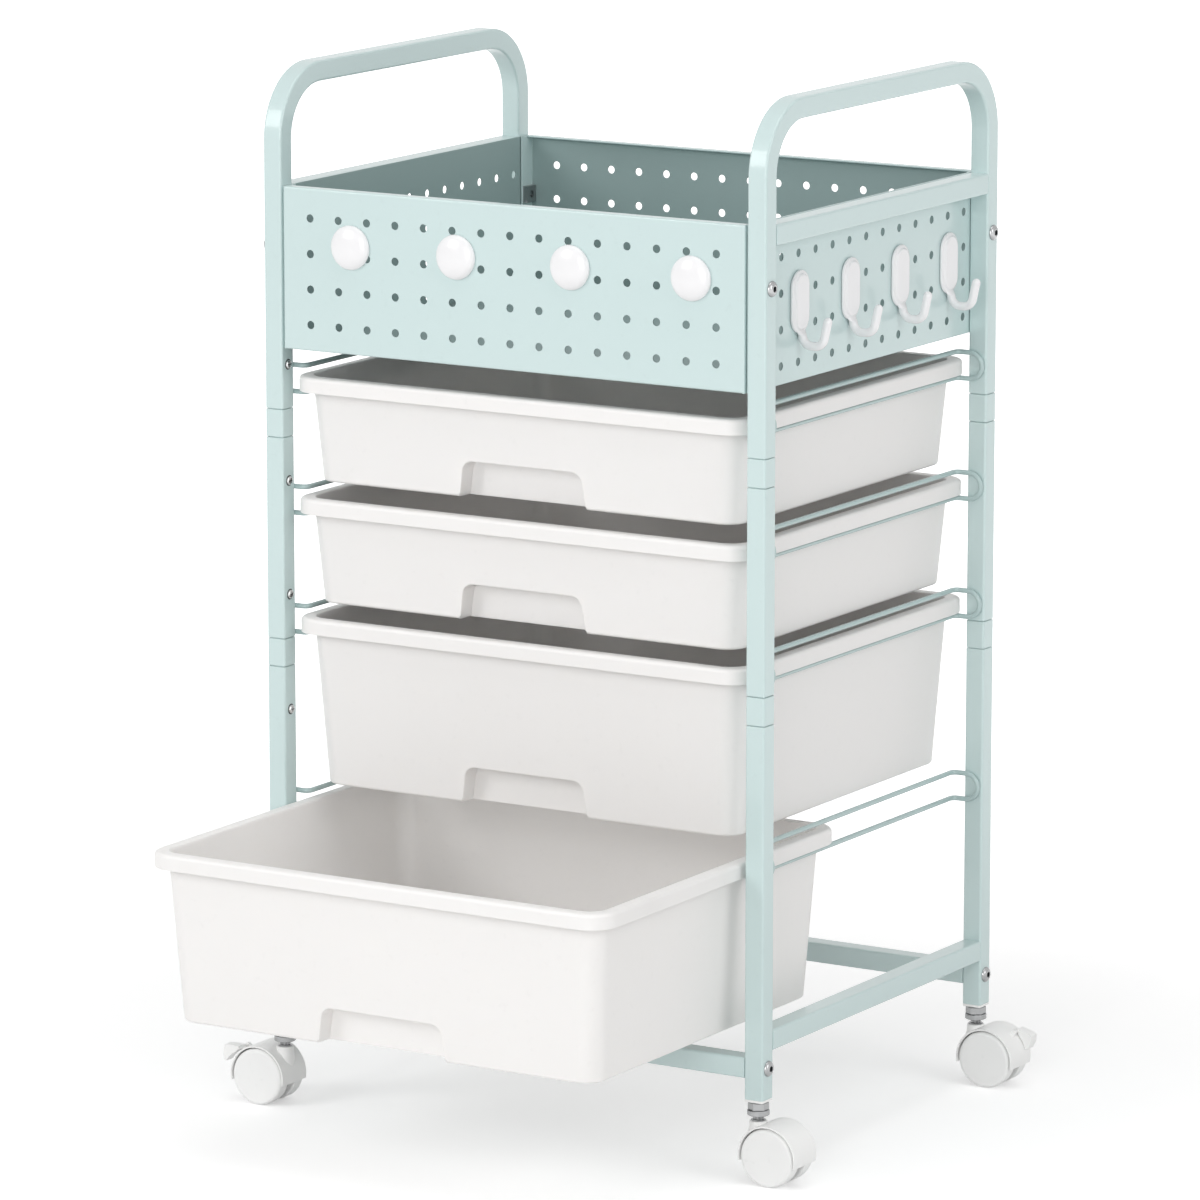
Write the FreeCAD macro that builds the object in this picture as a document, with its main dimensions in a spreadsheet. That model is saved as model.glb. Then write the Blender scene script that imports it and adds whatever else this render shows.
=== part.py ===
"""Rolling storage cart: a square-tube frame on four twin-wheel casters, with a
pegboard basket on top, four drawers hung from wire runners, hooks and magnets.

Millimetres. X runs to the right, Y to the back and Z up from the floor. The
origin lies on the floor below the middle of the whole cart as it stands, with
its lowest drawer pulled out."""
import FreeCAD, Part
import math
import os
import Sketcher
from FreeCAD import Placement, Rotation, Vector

SIZES = {
    # Frame of square steel tube
    "frame_width": 440.0,
    "frame_depth": 355.0,
    "handle_top": 808.5,
    "tube_side": 16.0,
    "tube_wall": 1.2,
    "tube_bevel": 1.2,
    "hole_sides": 6,
    "round_sides": 8,
    "handle_bend": 48.0,
    "post_foot": 63.0,
    "upper_rail_z": 702.9,
    "lower_rail_z": 98.8,
    "cross_rail_z": 78.8,
    # Connectors between the stacked tubes
    "lower_joint_z": 347.5,
    "upper_joint_z": 525.5,
    "collar_height": 21.8,
    "spigot_length": 45.0,
    "spigot_gap": 0.2,
    "screw_offset": 34.0,
    "screw_shank": 3.0,
    "screw_bite": 5.0,
    "screw_head": 7.0,
    "screw_head_height": 1.7,
    "screw_play": 0.2,
    # Bolts through the posts
    "bolt_upper_z": 672.5,
    "bolt_lower_z": 86.8,
    "bolt_shank": 5.8,
    "bolt_play": 0.2,
    "bolt_length": 27.0,
    "bolt_head": 12.0,
    "bolt_head_bevel": 1.6,
    "bolt_head_height": 3.0,
    "bolt_socket": 4.6,
    "bolt_socket_depth": 1.8,
    "nut_height": 4.0,
    "nut_inset": 1.0,
    # Wire runners
    "wire": 4.0,
    "wire_inset": 5.0,
    "wire_spacing": 20.4,
    "wire_bend": 5.0,
    "wire_eye_inset": 1.0,
    "wire_sides": 6,
    "wire_eye_steps": 4,
    "wire_bend_steps": 1,
    # Drawers
    "drawer_side_gap": 4.0,
    "drawer_setback": 2.5,
    "rim_corner": 21.0,
    "rim_drop": 12.0,
    "rim_flange": 8.7,
    "rim_thickness": 2.0,
    "lip_thickness": 1.6,
    "rim_bevel": 1.2,
    "drawer_wall": 2.0,
    "drawer_corner": 16.0,
    "base_bevel": 1.8,
    "shallow_height": 82.0,
    "shallow_draft": 6.0,
    "deep_height": 131.2,
    "deep_draft": 8.0,
    "drawer_1_top": 573.5,
    "drawer_2_top": 479.5,
    "drawer_3_top": 386.7,
    "drawer_4_top": 242.0,
    "drawer_4_pull": 199.5,
    "seat_gap": 0.3,
    "rib_thickness": 2.0,
    "rib_pitch": 105.0,
    "rib_count": 3,
    "recess_width": 111.0,
    "recess_top_width": 103.0,
    "recess_height": 28.0,
    "recess_depth": 14.5,
    "recess_corner": 9.0,
    # Pegboard basket
    "basket_foot": 594.7,
    "panel_sheet": 1.2,
    "panel_play": 0.2,
    "panel_edge_gap": 2.0,
    "panel_hem": 8.0,
    "side_panel_setback": 3.0,
    "peg_hole": 6.8,
    "peg_sides": 6,
    "peg_pitch": 25.4,
    "peg_row_pitch": 27.1,
    "peg_margin": 20.0,
    "front_row_rise": 19.9,
    "side_row_rise": 13.4,
    # Hooks pegged to the right panel
    "hook_width": 25.6,
    "hook_height": 47.0,
    "hook_corner": 12.5,
    "hook_plate": 4.0,
    "hook_bevel": 1.4,
    "hook_bar": 6.6,
    "hook_mouth": 14.0,
    "hook_flare": 3.6,
    "hook_drop": 10.7,
    "hook_rise": 21.7,
    "hook_bend": 9.0,
    "hook_peg": 5.6,
    "hook_peg_length": 3.4,
    "hook_peg_drop": 18.1,
    "hook_sides": 6,
    "hook_first": -4,
    "hook_columns": 3,
    # Magnets on the front panel
    "magnet_diameter": 34.0,
    "magnet_height": 7.0,
    "magnet_edge": 1.6,
    "magnet_shoulder": 5.6,
    "magnet_shoulder_diameter": 24.5,
    "magnet_crown_diameter": 11.9,
    "magnet_sides": 16,
    "magnet_z": 676.5,
    "magnet_1_x": -141.0,
    "magnet_2_x": -47.0,
    "magnet_3_x": 53.0,
    "magnet_4_x": 157.0,
    # Casters
    "plug_lip": 2.0,
    "plug_length": 17.0,
    "stem": 8.0,
    "stem_top": 77.0,
    "stem_play": 0.2,
    "stem_shoulder_gap": 0.3,
    "pivot_pin": 5.0,
    "pivot_pin_foot": 27.5,
    "pin_end_gap": 0.5,
    "running_gap": 0.1,
    "nut_foot": 50.5,
    "nut_tier": 4.5,
    "nut_flange": 17.0,
    "nut_hex": 16.0,
    "nut_sides": 12,
    "neck_diameter": 13.6,
    "neck_top": 46.3,
    "trail": 16.0,
    "wheel_radius": 22.25,
    "wheel_width": 12.8,
    "wheel_bevel": 2.0,
    "wheel_gap": 0.3,
    "web": 7.0,
    "axle": 4.0,
    "axle_reach": 12.0,
    "hood_inner": 23.3,
    "hood_skin": 1.3,
    "hood_rear_angle": 12.0,
    "hood_front_angle": 10.0,
    "ear": 3.6,
    "ear_width": 3.2,
    "lever_pin": 2.0,
    "lever_side_gap": 0.4,
    "lever_gap": 0.6,
    "lever_pivot_angle": 50.0,
    "lever_pivot_radius": 27.0,
    "lever_boss": 1.9,
    "lever_root_angle": 44.0,
    "lever_heel_angle": 15.0,
    "lever_heel_radius": 27.7,
    "lever_tip_angle": 32.0,
    "lever_tip_radius": 34.8,
    "brake_travel": 18.0,
}

doc = FreeCAD.newDocument("rolling_storage_cart")
sheet = doc.addObject("Spreadsheet::Sheet", "Sizes")
for row, (alias, number) in enumerate(SIZES.items(), start=1):
    sheet.set("A%d" % row, alias)
    sheet.set("B%d" % row, repr(number))
    sheet.setAlias("B%d" % row, alias)
doc.recompute()


class Size:
    """A length or count with its number and the formula that the sheet keeps."""

    def __init__(self, number, formula):
        self.number = number
        self.formula = formula

    def __add__(self, other):
        other = as_size(other)
        return Size(self.number + other.number, "(%s + %s)" % (self.formula, other.formula))

    def __sub__(self, other):
        other = as_size(other)
        return Size(self.number - other.number, "(%s - %s)" % (self.formula, other.formula))

    def __mul__(self, other):
        other = as_size(other)
        return Size(self.number * other.number, "(%s * %s)" % (self.formula, other.formula))

    def __truediv__(self, other):
        other = as_size(other)
        return Size(self.number / other.number, "(%s / %s)" % (self.formula, other.formula))

    def __radd__(self, other):
        return as_size(other) + self

    def __rsub__(self, other):
        return as_size(other) - self

    def __rmul__(self, other):
        return as_size(other) * self

    def __neg__(self):
        return as_size(0) - self


def as_size(number):
    """The number itself where it is a Size already, or a plain one made into a Size."""
    return number if isinstance(number, Size) else Size(float(number), repr(number))


class Sheet:
    """Gives each named cell of the sheet as a Size."""

    def __getattr__(self, alias):
        return Size(SIZES[alias], "Sizes." + alias)


def polar(radius, angle):
    """Distances along and across from a centre, for an angle in degrees."""
    turn = math.radians(angle.number)
    across = Size(radius.number * math.cos(turn), "(%s * cos(%s * 1deg))" % (radius.formula, angle.formula))
    up = Size(radius.number * math.sin(turn), "(%s * sin(%s * 1deg))" % (radius.formula, angle.formula))
    return across, up


def bind(target, name, size):
    """Ties a property to its formula in the sheet."""
    target.setExpression(name, as_size(size).formula)


s = Sheet()

# Places that several pieces share
post_x = s.frame_width / 2 - s.tube_side / 2
post_y = s.frame_depth / 2 - s.tube_side / 2
post_inner_x = s.frame_width / 2 - s.tube_side
post_inner_y = s.frame_depth / 2 - s.tube_side
caster_half_width = s.web / 2 + s.wheel_gap + s.wheel_width
drawer_half_x = post_inner_x - s.drawer_side_gap
drawer_half_y = s.frame_depth / 2 - s.drawer_setback
front_reach = drawer_half_y + s.drawer_4_pull
rear_reach = post_y + caster_half_width
middle_y = (front_reach - rear_reach) / 2
hood_outer = s.hood_inner + s.hood_skin
spigot_side = s.tube_side - 2 * s.tube_wall - 2 * s.spigot_gap
panel_outer_x = post_inner_x - s.panel_play
end_panel_half = post_inner_x - s.panel_edge_gap
side_panel_half = s.frame_depth / 2 - s.side_panel_setback
basket_top = s.upper_rail_z + s.tube_side
upper_middle_foot = s.lower_joint_z + s.collar_height
handle_foot = s.upper_joint_z + s.collar_height
wire_drop = s.rim_drop + s.seat_gap + s.wire / 2
bolt_hole = s.bolt_shank + 2 * s.bolt_play


def new_body(label):
    """An empty body, named as its node."""
    body = doc.addObject("PartDesign::Body", label)
    body.Label = label
    return body


def origin_plane(body, role):
    """The body's own origin plane of that role, such as XY_Plane."""
    return next(item for item in body.Origin.OriginFeatures if item.Role == role)


def new_sketch(body, name, role, offset=0):
    """A sketch on one of the body's origin planes, moved along the plane's normal."""
    sketch = body.newObject("Sketcher::SketchObject", name)
    sketch.AttachmentSupport = [(origin_plane(body, role), "")]
    sketch.MapMode = "FlatFace"
    sketch.AttachmentOffset = Placement(Vector(0, 0, as_size(offset).number), Rotation())
    bind(sketch, "AttachmentOffset.Base.z", offset)
    return sketch


def fix(sketch, kind, places, size):
    """A dimension of the sketch, tied to its formula."""
    size = as_size(size)
    index = sketch.addConstraint(Sketcher.Constraint(kind, *places, size.number))
    sketch.setExpression("Constraints[%d]" % index, size.formula)


def fix_point(sketch, shape, end, x, y):
    """Holds one point of the sketch at a distance across and up from its origin."""
    fix(sketch, "DistanceX", (-1, 1, shape, end), x)
    fix(sketch, "DistanceY", (-1, 1, shape, end), y)


def corner_arc(before, corner, after, radius):
    """The arc that rounds a corner, its two ends, and whether it turns left."""
    inward = (corner - before).normalize()
    outward = (after - corner).normalize()
    turn = math.atan2(inward.x * outward.y - inward.y * outward.x, inward.dot(outward))
    run = radius * math.tan(abs(turn) / 2)
    start = corner - inward * run
    finish = corner + outward * run
    side = 1 if turn > 0 else -1
    centre = start + Vector(-inward.y, inward.x, 0) * radius * side
    first, last = (start, finish) if turn > 0 else (finish, start)
    angles = [math.atan2(point.y - centre.y, point.x - centre.x) for point in (first, last)]
    arc = Part.ArcOfCircle(Part.Circle(centre, Vector(0, 0, 1), radius), *angles)
    return arc, start, finish, turn > 0


def outline(sketch, corners, closed=True):
    """Straight lines through the corners, each (x, y) or (x, y, radius of its round)."""
    count = len(corners)
    points = [Vector(as_size(corner[0]).number, as_size(corner[1]).number, 0) for corner in corners]
    starts = list(points)
    finishes = list(points)
    arcs = {}
    for i, corner in enumerate(corners):
        if len(corner) == 3:
            before, after = points[i - 1], points[(i + 1) % count]
            radius = as_size(corner[2]).number
            arc, finishes[i], starts[i], left = corner_arc(before, points[i], after, radius)
            arcs[i] = (arc, left)
    runs = count if closed else count - 1
    lines = []
    for i in range(runs):
        lines.append(sketch.addGeometry(Part.LineSegment(starts[i], finishes[(i + 1) % count]), False))
    for i, corner in enumerate(corners):
        x, y = corner[0], corner[1]
        if i not in arcs:
            if closed or 0 < i < count - 1:
                sketch.addConstraint(Sketcher.Constraint("Coincident", lines[i - 1], 2, lines[i], 1))
            if i < runs:
                fix_point(sketch, lines[i], 1, x, y)
            else:
                fix_point(sketch, lines[i - 1], 2, x, y)
            continue
        arc, left = arcs[i]
        near, far = (1, 2) if left else (2, 1)
        bend = sketch.addGeometry(arc, False)
        peak = sketch.addGeometry(Part.Point(points[i]), True)
        fix_point(sketch, peak, 1, x, y)
        sketch.addConstraint(Sketcher.Constraint("PointOnObject", peak, 1, lines[i - 1]))
        sketch.addConstraint(Sketcher.Constraint("PointOnObject", peak, 1, lines[i]))
        sketch.addConstraint(Sketcher.Constraint("Tangent", lines[i - 1], 2, bend, near))
        sketch.addConstraint(Sketcher.Constraint("Tangent", bend, far, lines[i], 1))
        fix(sketch, "Radius", (bend,), corner[2])


def rectangle(sketch, x0, y0, x1, y1, radius=None):
    """A rectangle between two corners, with or without rounded corners."""
    corners = [(x0, y0), (x1, y0), (x1, y1), (x0, y1)]
    if radius is not None:
        corners = [corner + (radius,) for corner in corners]
    outline(sketch, corners)


def centred_rectangle(sketch, width, height, radius=None):
    """A rectangle about the sketch's origin."""
    rectangle(sketch, -width / 2, -height / 2, width / 2, height / 2, radius)


def bevelled_square(sketch, x, y, side, bevel):
    """A square about (x, y) with its corners cut off, as a bent tube has."""
    half = side / 2
    inner = half - bevel
    outline(sketch, [
        (x - half, y - inner), (x - inner, y - half), (x + inner, y - half), (x + half, y - inner),
        (x + half, y + inner), (x + inner, y + half), (x - inner, y + half), (x - half, y + inner)])


def polygon(sketch, x, y, across_corners, sides):
    """A regular polygon on a construction circle, with one side upright."""
    radius = as_size(across_corners) / 2
    x, y = as_size(x), as_size(y)
    centre = Vector(x.number, y.number, 0)
    corners = []
    for k in range(sides):
        turn = math.radians(360.0 / sides * (k - 0.5))
        corners.append(centre + Vector(math.cos(turn), math.sin(turn), 0) * radius.number)
    ring = sketch.addGeometry(Part.Circle(centre, Vector(0, 0, 1), radius.number), True)
    fix_point(sketch, ring, 3, x, y)
    fix(sketch, "Radius", (ring,), radius)
    lines = []
    for k in range(sides):
        lines.append(sketch.addGeometry(Part.LineSegment(corners[k], corners[(k + 1) % sides]), False))
    for k in range(sides):
        sketch.addConstraint(Sketcher.Constraint("Coincident", lines[k - 1], 2, lines[k], 1))
        sketch.addConstraint(Sketcher.Constraint("PointOnObject", lines[k], 1, ring))
        if k:
            sketch.addConstraint(Sketcher.Constraint("Equal", lines[0], lines[k]))
    sketch.addConstraint(Sketcher.Constraint("Vertical", lines[0]))


def around(diameter, sides):
    """The size across corners of the polygon that stays just outside a circle."""
    lean = 180.0 / sides
    number = diameter.number / math.cos(math.radians(lean))
    return Size(number, "(%s / cos(%r * 1deg))" % (diameter.formula, lean))


def circle(sketch, x, y, diameter):
    """A full circle about (x, y)."""
    radius = as_size(diameter) / 2
    centre = Vector(as_size(x).number, as_size(y).number, 0)
    ring = sketch.addGeometry(Part.Circle(centre, Vector(0, 0, 1), radius.number), False)
    fix_point(sketch, ring, 3, x, y)
    fix(sketch, "Radius", (ring,), radius)


def extrude(body, kind, sketch, length, backwards=False, both_sides=False):
    """A Pad or a Pocket of the sketch."""
    feature = body.newObject("PartDesign::" + kind, kind + "_" + sketch.Name)
    feature.Profile = sketch
    bind(feature, "Length", length)
    feature.Reversed = backwards
    feature.Midplane = both_sides
    return feature


def pad(body, sketch, length, backwards=False, both_sides=False):
    """Material from the sketch, along its plane's normal unless it goes backwards."""
    return extrude(body, "Pad", sketch, length, backwards, both_sides)


def pocket(body, sketch, length, backwards=False, both_sides=False):
    """A cut from the sketch, against its plane's normal unless it goes backwards."""
    return extrude(body, "Pocket", sketch, length, backwards, both_sides)


def revolve(body, sketch):
    """A full turn of the sketch about its own horizontal axis."""
    feature = body.newObject("PartDesign::Revolution", "Revolution_" + sketch.Name)
    feature.Profile = sketch
    feature.ReferenceAxis = (sketch, ["H_Axis"])
    feature.Angle = 360
    return feature


def pipe(body, profile, path):
    """The profile swept along the whole path."""
    feature = body.newObject("PartDesign::AdditivePipe", "Pipe_" + path.Name)
    doc.recompute()
    feature.Profile = profile
    feature.Spine = (path, ["Edge%d" % (i + 1) for i in range(len(path.Shape.Edges))])
    return feature


def loft(body, kind, first, *others):
    """A straight-sided loft from one sketch through the others."""
    feature = body.newObject("PartDesign::" + kind, kind + "_" + first.Name)
    feature.Profile = first
    feature.Sections = [(other, "") for other in others]
    feature.Ruled = True
    return feature


def bevel(body, base, size, wanted):
    """Cuts the edges of the base feature that are wanted."""
    doc.recompute()
    names = ["Edge%d" % (i + 1) for i, edge in enumerate(base.Shape.Edges) if wanted(edge)]
    feature = body.newObject("PartDesign::Chamfer", "Chamfer_" + base.Name)
    feature.Base = (base, names)
    bind(feature, "Size", size)
    return feature


def row(body, feature, sketch, axis, count, pitch):
    """Repeats a feature along one of its sketch's own axes."""
    pattern = body.newObject("PartDesign::LinearPattern", "Pattern_" + feature.Name)
    pattern.Originals = [feature]
    pattern.Direction = (sketch, [axis])
    pattern.Mode = "Spacing"
    bind(pattern, "Offset", pitch)
    bind(pattern, "Occurrences", count)
    body.Tip = pattern
    return pattern


def grid(body, feature, sketch, columns, pitch, rows, row_pitch):
    """Repeats a feature along both of its sketch's own axes."""
    pattern = row(body, feature, sketch, "H_Axis", columns, pitch)
    pattern.Direction2 = (sketch, ["V_Axis"])
    pattern.Mode2 = "Spacing"
    pattern.Spacings2 = [USE_OFFSET]
    bind(pattern, "Offset2", row_pitch)
    bind(pattern, "Occurrences2", rows)
    return pattern


def how_many(span, pitch):
    """How many whole steps of a pitch fit in a span."""
    return Size(math.floor(span.number / pitch.number), "floor(%s / %s)" % (span.formula, pitch.formula))


def put(item, x, y, z, turn=0):
    """Places a piece at a spot given from the middle of the frame, turned about Z."""
    item.Placement = Placement(Vector(), Rotation(Vector(0, 0, 1), turn))
    bind(item, "Placement.Base.x", x)
    bind(item, "Placement.Base.y", as_size(y) + middle_y)
    bind(item, "Placement.Base.z", z)
    return item


def group(label, pattern, places):
    """Identical separate pieces in one node, each a link to the one that is drawn."""
    links = []
    for k, (x, y, z, turn) in enumerate(places, start=1):
        link = doc.addObject("App::Link", "%s_%d" % (label, k))
        link.LinkedObject = pattern
        links.append(put(link, x, y, z, turn))
    compound = doc.addObject("Part::Compound", label)
    compound.Label = label
    compound.Links = links
    return compound


def at_posts(z):
    """The four posts' places at a height, each turned so that its inner side faces in."""
    return [(post_x, -post_y, z, 0), (post_x, post_y, z, 0),
            (-post_x, -post_y, z, 180), (-post_x, post_y, z, 180)]


CORNERS = ("front_right", "rear_right", "front_left", "rear_left")
HOLE_SIDES = SIZES["hole_sides"]
ROUND_SIDES = SIZES["round_sides"]
HEXAGON = 6
# A pattern's spacing that is left to its offset
USE_OFFSET = -1.0


# Frame


def tube_section(sketch, x=0, y=0):
    """The square tube's bevelled outside and square inside."""
    x, y = as_size(x), as_size(y)
    bevelled_square(sketch, x, y, s.tube_side, s.tube_bevel)
    inner = s.tube_side / 2 - s.tube_wall
    rectangle(sketch, x - inner, y - inner, x + inner, y + inner)


def straight_tube(label, role, length):
    """A tube centred on its own length, square to one origin plane."""
    body = new_body(label)
    section = new_sketch(body, label + "_section", role)
    tube_section(section)
    pad(body, section, length, both_sides=True)
    return body


def bolt_holes(body, spots):
    """Holes for a frame bolt right through the tube along X, at (y, z)."""
    sketch = new_sketch(body, body.Name + "_bolt_holes", "YZ_Plane")
    for y, z in spots:
        polygon(sketch, y, z, bolt_hole, HOLE_SIDES)
    pocket(body, sketch, s.tube_side * 2, both_sides=True)


def screw_hole(sketch, y, z):
    """A square pilot hole about (y, z)."""
    half = s.screw_shank / 2 + s.screw_play
    y, z = as_size(y), as_size(z)
    rectangle(sketch, y - half, z - half, y + half, z + half)


def screw_holes(body, spots, depth):
    """Pilot holes from the tube's inner side, at (y, z)."""
    sketch = new_sketch(body, body.Name + "_screw_holes", "YZ_Plane", -s.tube_side / 2)
    for y, z in spots:
        screw_hole(sketch, y, z)
    pocket(body, sketch, depth, backwards=True)


def lower_post(label, place):
    """Bottom tube, with the cross rail's bolt hole and the connector's screw hole."""
    length = s.lower_joint_z - s.post_foot
    body = straight_tube(label, "XY_Plane", length)
    middle = s.post_foot + length / 2
    bolt_holes(body, [(0, s.bolt_lower_z - middle)])
    screw_holes(body, [(0, length / 2 - s.screw_offset)], s.tube_wall * 2)
    x, y, z, turn = place
    return put(body, x, y, middle, turn)


def middle_post(label, place):
    """Tube between the two connectors, with a screw hole near each end."""
    length = s.upper_joint_z - upper_middle_foot
    body = straight_tube(label, "XY_Plane", length)
    end = length / 2 - s.screw_offset
    screw_holes(body, [(0, end), (0, -end)], s.tube_wall * 2)
    x, y, z, turn = place
    return put(body, x, y, upper_middle_foot + length / 2, turn)


def handle_tube(label, side, turn):
    """One side's top: two legs and the rounded push handle in one bent tube."""
    body = new_body(label)
    path = new_sketch(body, label + "_path", "YZ_Plane")
    top = s.handle_top - s.tube_side / 2
    outline(path, [(-post_y, handle_foot), (-post_y, top, s.handle_bend),
                   (post_y, top, s.handle_bend), (post_y, handle_foot)], closed=False)
    section = new_sketch(body, label + "_section", "XY_Plane", handle_foot)
    tube_section(section, 0, -post_y)
    pipe(body, section, path)
    bolt_holes(body, [(-post_y, s.bolt_upper_z), (post_y, s.bolt_upper_z)])
    screw_z = handle_foot + s.screw_offset
    screw_holes(body, [(-post_y, screw_z), (post_y, screw_z)], s.tube_wall * 2)
    return put(body, side * post_x, 0, 0, turn)


def side_rail(label, side, foot):
    """A rail from front to back between two posts."""
    body = straight_tube(label, "XZ_Plane", 2 * post_inner_y)
    return put(body, side * post_x, 0, foot + s.tube_side / 2)


def cross_rail(label, side):
    """A rail from left to right between the feet of two posts."""
    body = straight_tube(label, "YZ_Plane", 2 * post_inner_x)
    return put(body, 0, side * post_y, s.cross_rail_z + s.tube_side / 2)


def tube_connector(label):
    """A collar as thick as the tubes, with a spigot up and a spigot down."""
    body = new_body(label)
    collar = new_sketch(body, label + "_collar", "XY_Plane")
    bevelled_square(collar, as_size(0), as_size(0), s.tube_side, s.tube_bevel)
    pad(body, collar, s.collar_height)
    spigot = new_sketch(body, label + "_spigot", "XY_Plane", -s.spigot_length)
    centred_rectangle(spigot, spigot_side, spigot_side)
    pad(body, spigot, 2 * s.spigot_length + s.collar_height)
    pilot = new_sketch(body, label + "_pilot", "YZ_Plane", -s.tube_side / 2)
    screw_hole(pilot, 0, -s.screw_offset)
    screw_hole(pilot, 0, s.collar_height + s.screw_offset)
    pocket(body, pilot, s.tube_side / 2, backwards=True)
    return body


def connector_screw(label):
    """A screw along X: a pan head inside the frame and a plain shank."""
    body = new_body(label)
    head = new_sketch(body, label + "_head", "YZ_Plane")
    polygon(head, 0, 0, s.screw_head, ROUND_SIDES)
    pad(body, head, s.screw_head_height, backwards=True)
    shank = new_sketch(body, label + "_shank", "YZ_Plane")
    centred_rectangle(shank, s.screw_shank, s.screw_shank)
    pad(body, shank, s.screw_bite)
    return body


def frame_bolt(label):
    """A button-head bolt along X, with a hexagon socket in its head."""
    body = new_body(label)
    head = new_sketch(body, label + "_head", "YZ_Plane")
    polygon(head, 0, 0, s.bolt_head, ROUND_SIDES)
    head_pad = pad(body, head, s.bolt_head_height)
    front = SIZES["bolt_head_height"]
    bevel(body, head_pad, s.bolt_head_bevel, lambda edge: edge.BoundBox.XMin > front / 2)
    shank = new_sketch(body, label + "_shank", "YZ_Plane")
    polygon(shank, 0, 0, s.bolt_shank, HOLE_SIDES)
    pad(body, shank, s.bolt_length, backwards=True)
    socket = new_sketch(body, label + "_socket", "YZ_Plane", s.bolt_head_height)
    polygon(socket, 0, 0, s.bolt_socket, HEXAGON)
    pocket(body, socket, s.bolt_socket_depth)
    return body


def frame_nut(label):
    """A square nut that fits in the rail's end and in the basket's corner."""
    body = new_body(label)
    face = new_sketch(body, label + "_face", "YZ_Plane")
    centred_rectangle(face, spigot_side, spigot_side)
    polygon(face, 0, 0, bolt_hole, HOLE_SIDES)
    pad(body, face, s.nut_height, backwards=True)
    return body


# Wire runners


def arc_points(centre, radius, across, up, first, last, steps):
    """Points along an arc, from one angle to another, in the plane of two directions."""
    points = []
    for k in range(steps + 1):
        turn = math.radians(first + (last - first) * k / steps)
        points.append(centre + across * radius * math.cos(turn) + up * radius * math.sin(turn))
    return points


def runner_path():
    """Closed path of the right-hand wire about its own middle height."""
    x, y, z = Vector(1, 0, 0), Vector(0, 1, 0), Vector(0, 0, 1)
    wire = SIZES["wire"]
    reach = SIZES["wire_spacing"] / 2
    run_x = drawer_half_x.number - SIZES["wire_inset"] - post_x.number
    leg_y = post_inner_y.number - wire / 2
    eye_x = SIZES["tube_side"] / 2 - SIZES["wire_eye_inset"] - wire / 2 - reach
    bend = SIZES["wire_bend"]
    eye_steps = SIZES["wire_eye_steps"]
    bend_steps = SIZES["wire_bend_steps"]
    path = []
    for side in (1, -1):
        turn_in = Vector(run_x + bend, side * (leg_y - bend), side * reach)
        path += arc_points(turn_in, bend, -x, y * side, 0, 90, bend_steps)
        eye = Vector(eye_x, side * leg_y, 0)
        path += arc_points(eye, reach, x, z * side, 90, -90, eye_steps)
        turn_out = Vector(run_x + bend, side * (leg_y - bend), -side * reach)
        path += arc_points(turn_out, bend, -x, y * side, 90, 0, bend_steps)
    return path


def mitred_ring(path, diameter, sides):
    """A wire of polygon section along a closed path of straight runs, mitred at each point.

    Its first run is level, with one corner of the section on top."""
    count = len(path)
    runs = [(path[(i + 1) % count] - path[i]).normalize() for i in range(count)]
    mitres = [(runs[i - 1] + runs[i]).normalize() for i in range(count)]

    def slide(point, run, corner):
        gap = (path[corner] - point).dot(mitres[corner])
        return point + run * (gap / run.dot(mitres[corner]))

    across = Vector(0, 0, 1)
    up = runs[0].cross(across)
    first = []
    for k in range(sides):
        turn = 2 * math.pi * k / sides
        offset = (across * math.cos(turn) + up * math.sin(turn)) * (diameter / 2)
        first.append(slide(path[0] + offset, runs[0], 0))
    rings = [first]
    for i in range(count):
        rings.append([slide(point, runs[i], (i + 1) % count) for point in rings[i]])
    nearest = min(range(sides), key=lambda k: (rings[-1][0] - first[k]).Length)
    rings[-1] = [first[(nearest + k) % sides] for k in range(sides)]
    faces = []
    for i in range(count):
        for k in range(sides):
            after = (k + 1) % sides
            quad = [rings[i][k], rings[i][after], rings[i + 1][after], rings[i + 1][k]]
            faces.append(Part.Face(Part.makePolygon(quad + quad[:1])))
    shell = Part.Shell(faces)
    shell.sewShape()
    solid = Part.Solid(shell)
    if solid.Volume < 0:
        solid.reverse()
    return solid


def runner(label, side, turn, rim_top):
    """A closed wire that carries one edge of a drawer and holds it down."""
    feature = doc.addObject("Part::Feature", label)
    feature.Label = label
    feature.Shape = mitred_ring(runner_path(), SIZES["wire"], SIZES["wire_sides"])
    middle = rim_top - wire_drop + s.wire_spacing / 2
    return put(feature, side * post_x, 0, middle, turn)


# Drawers


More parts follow.
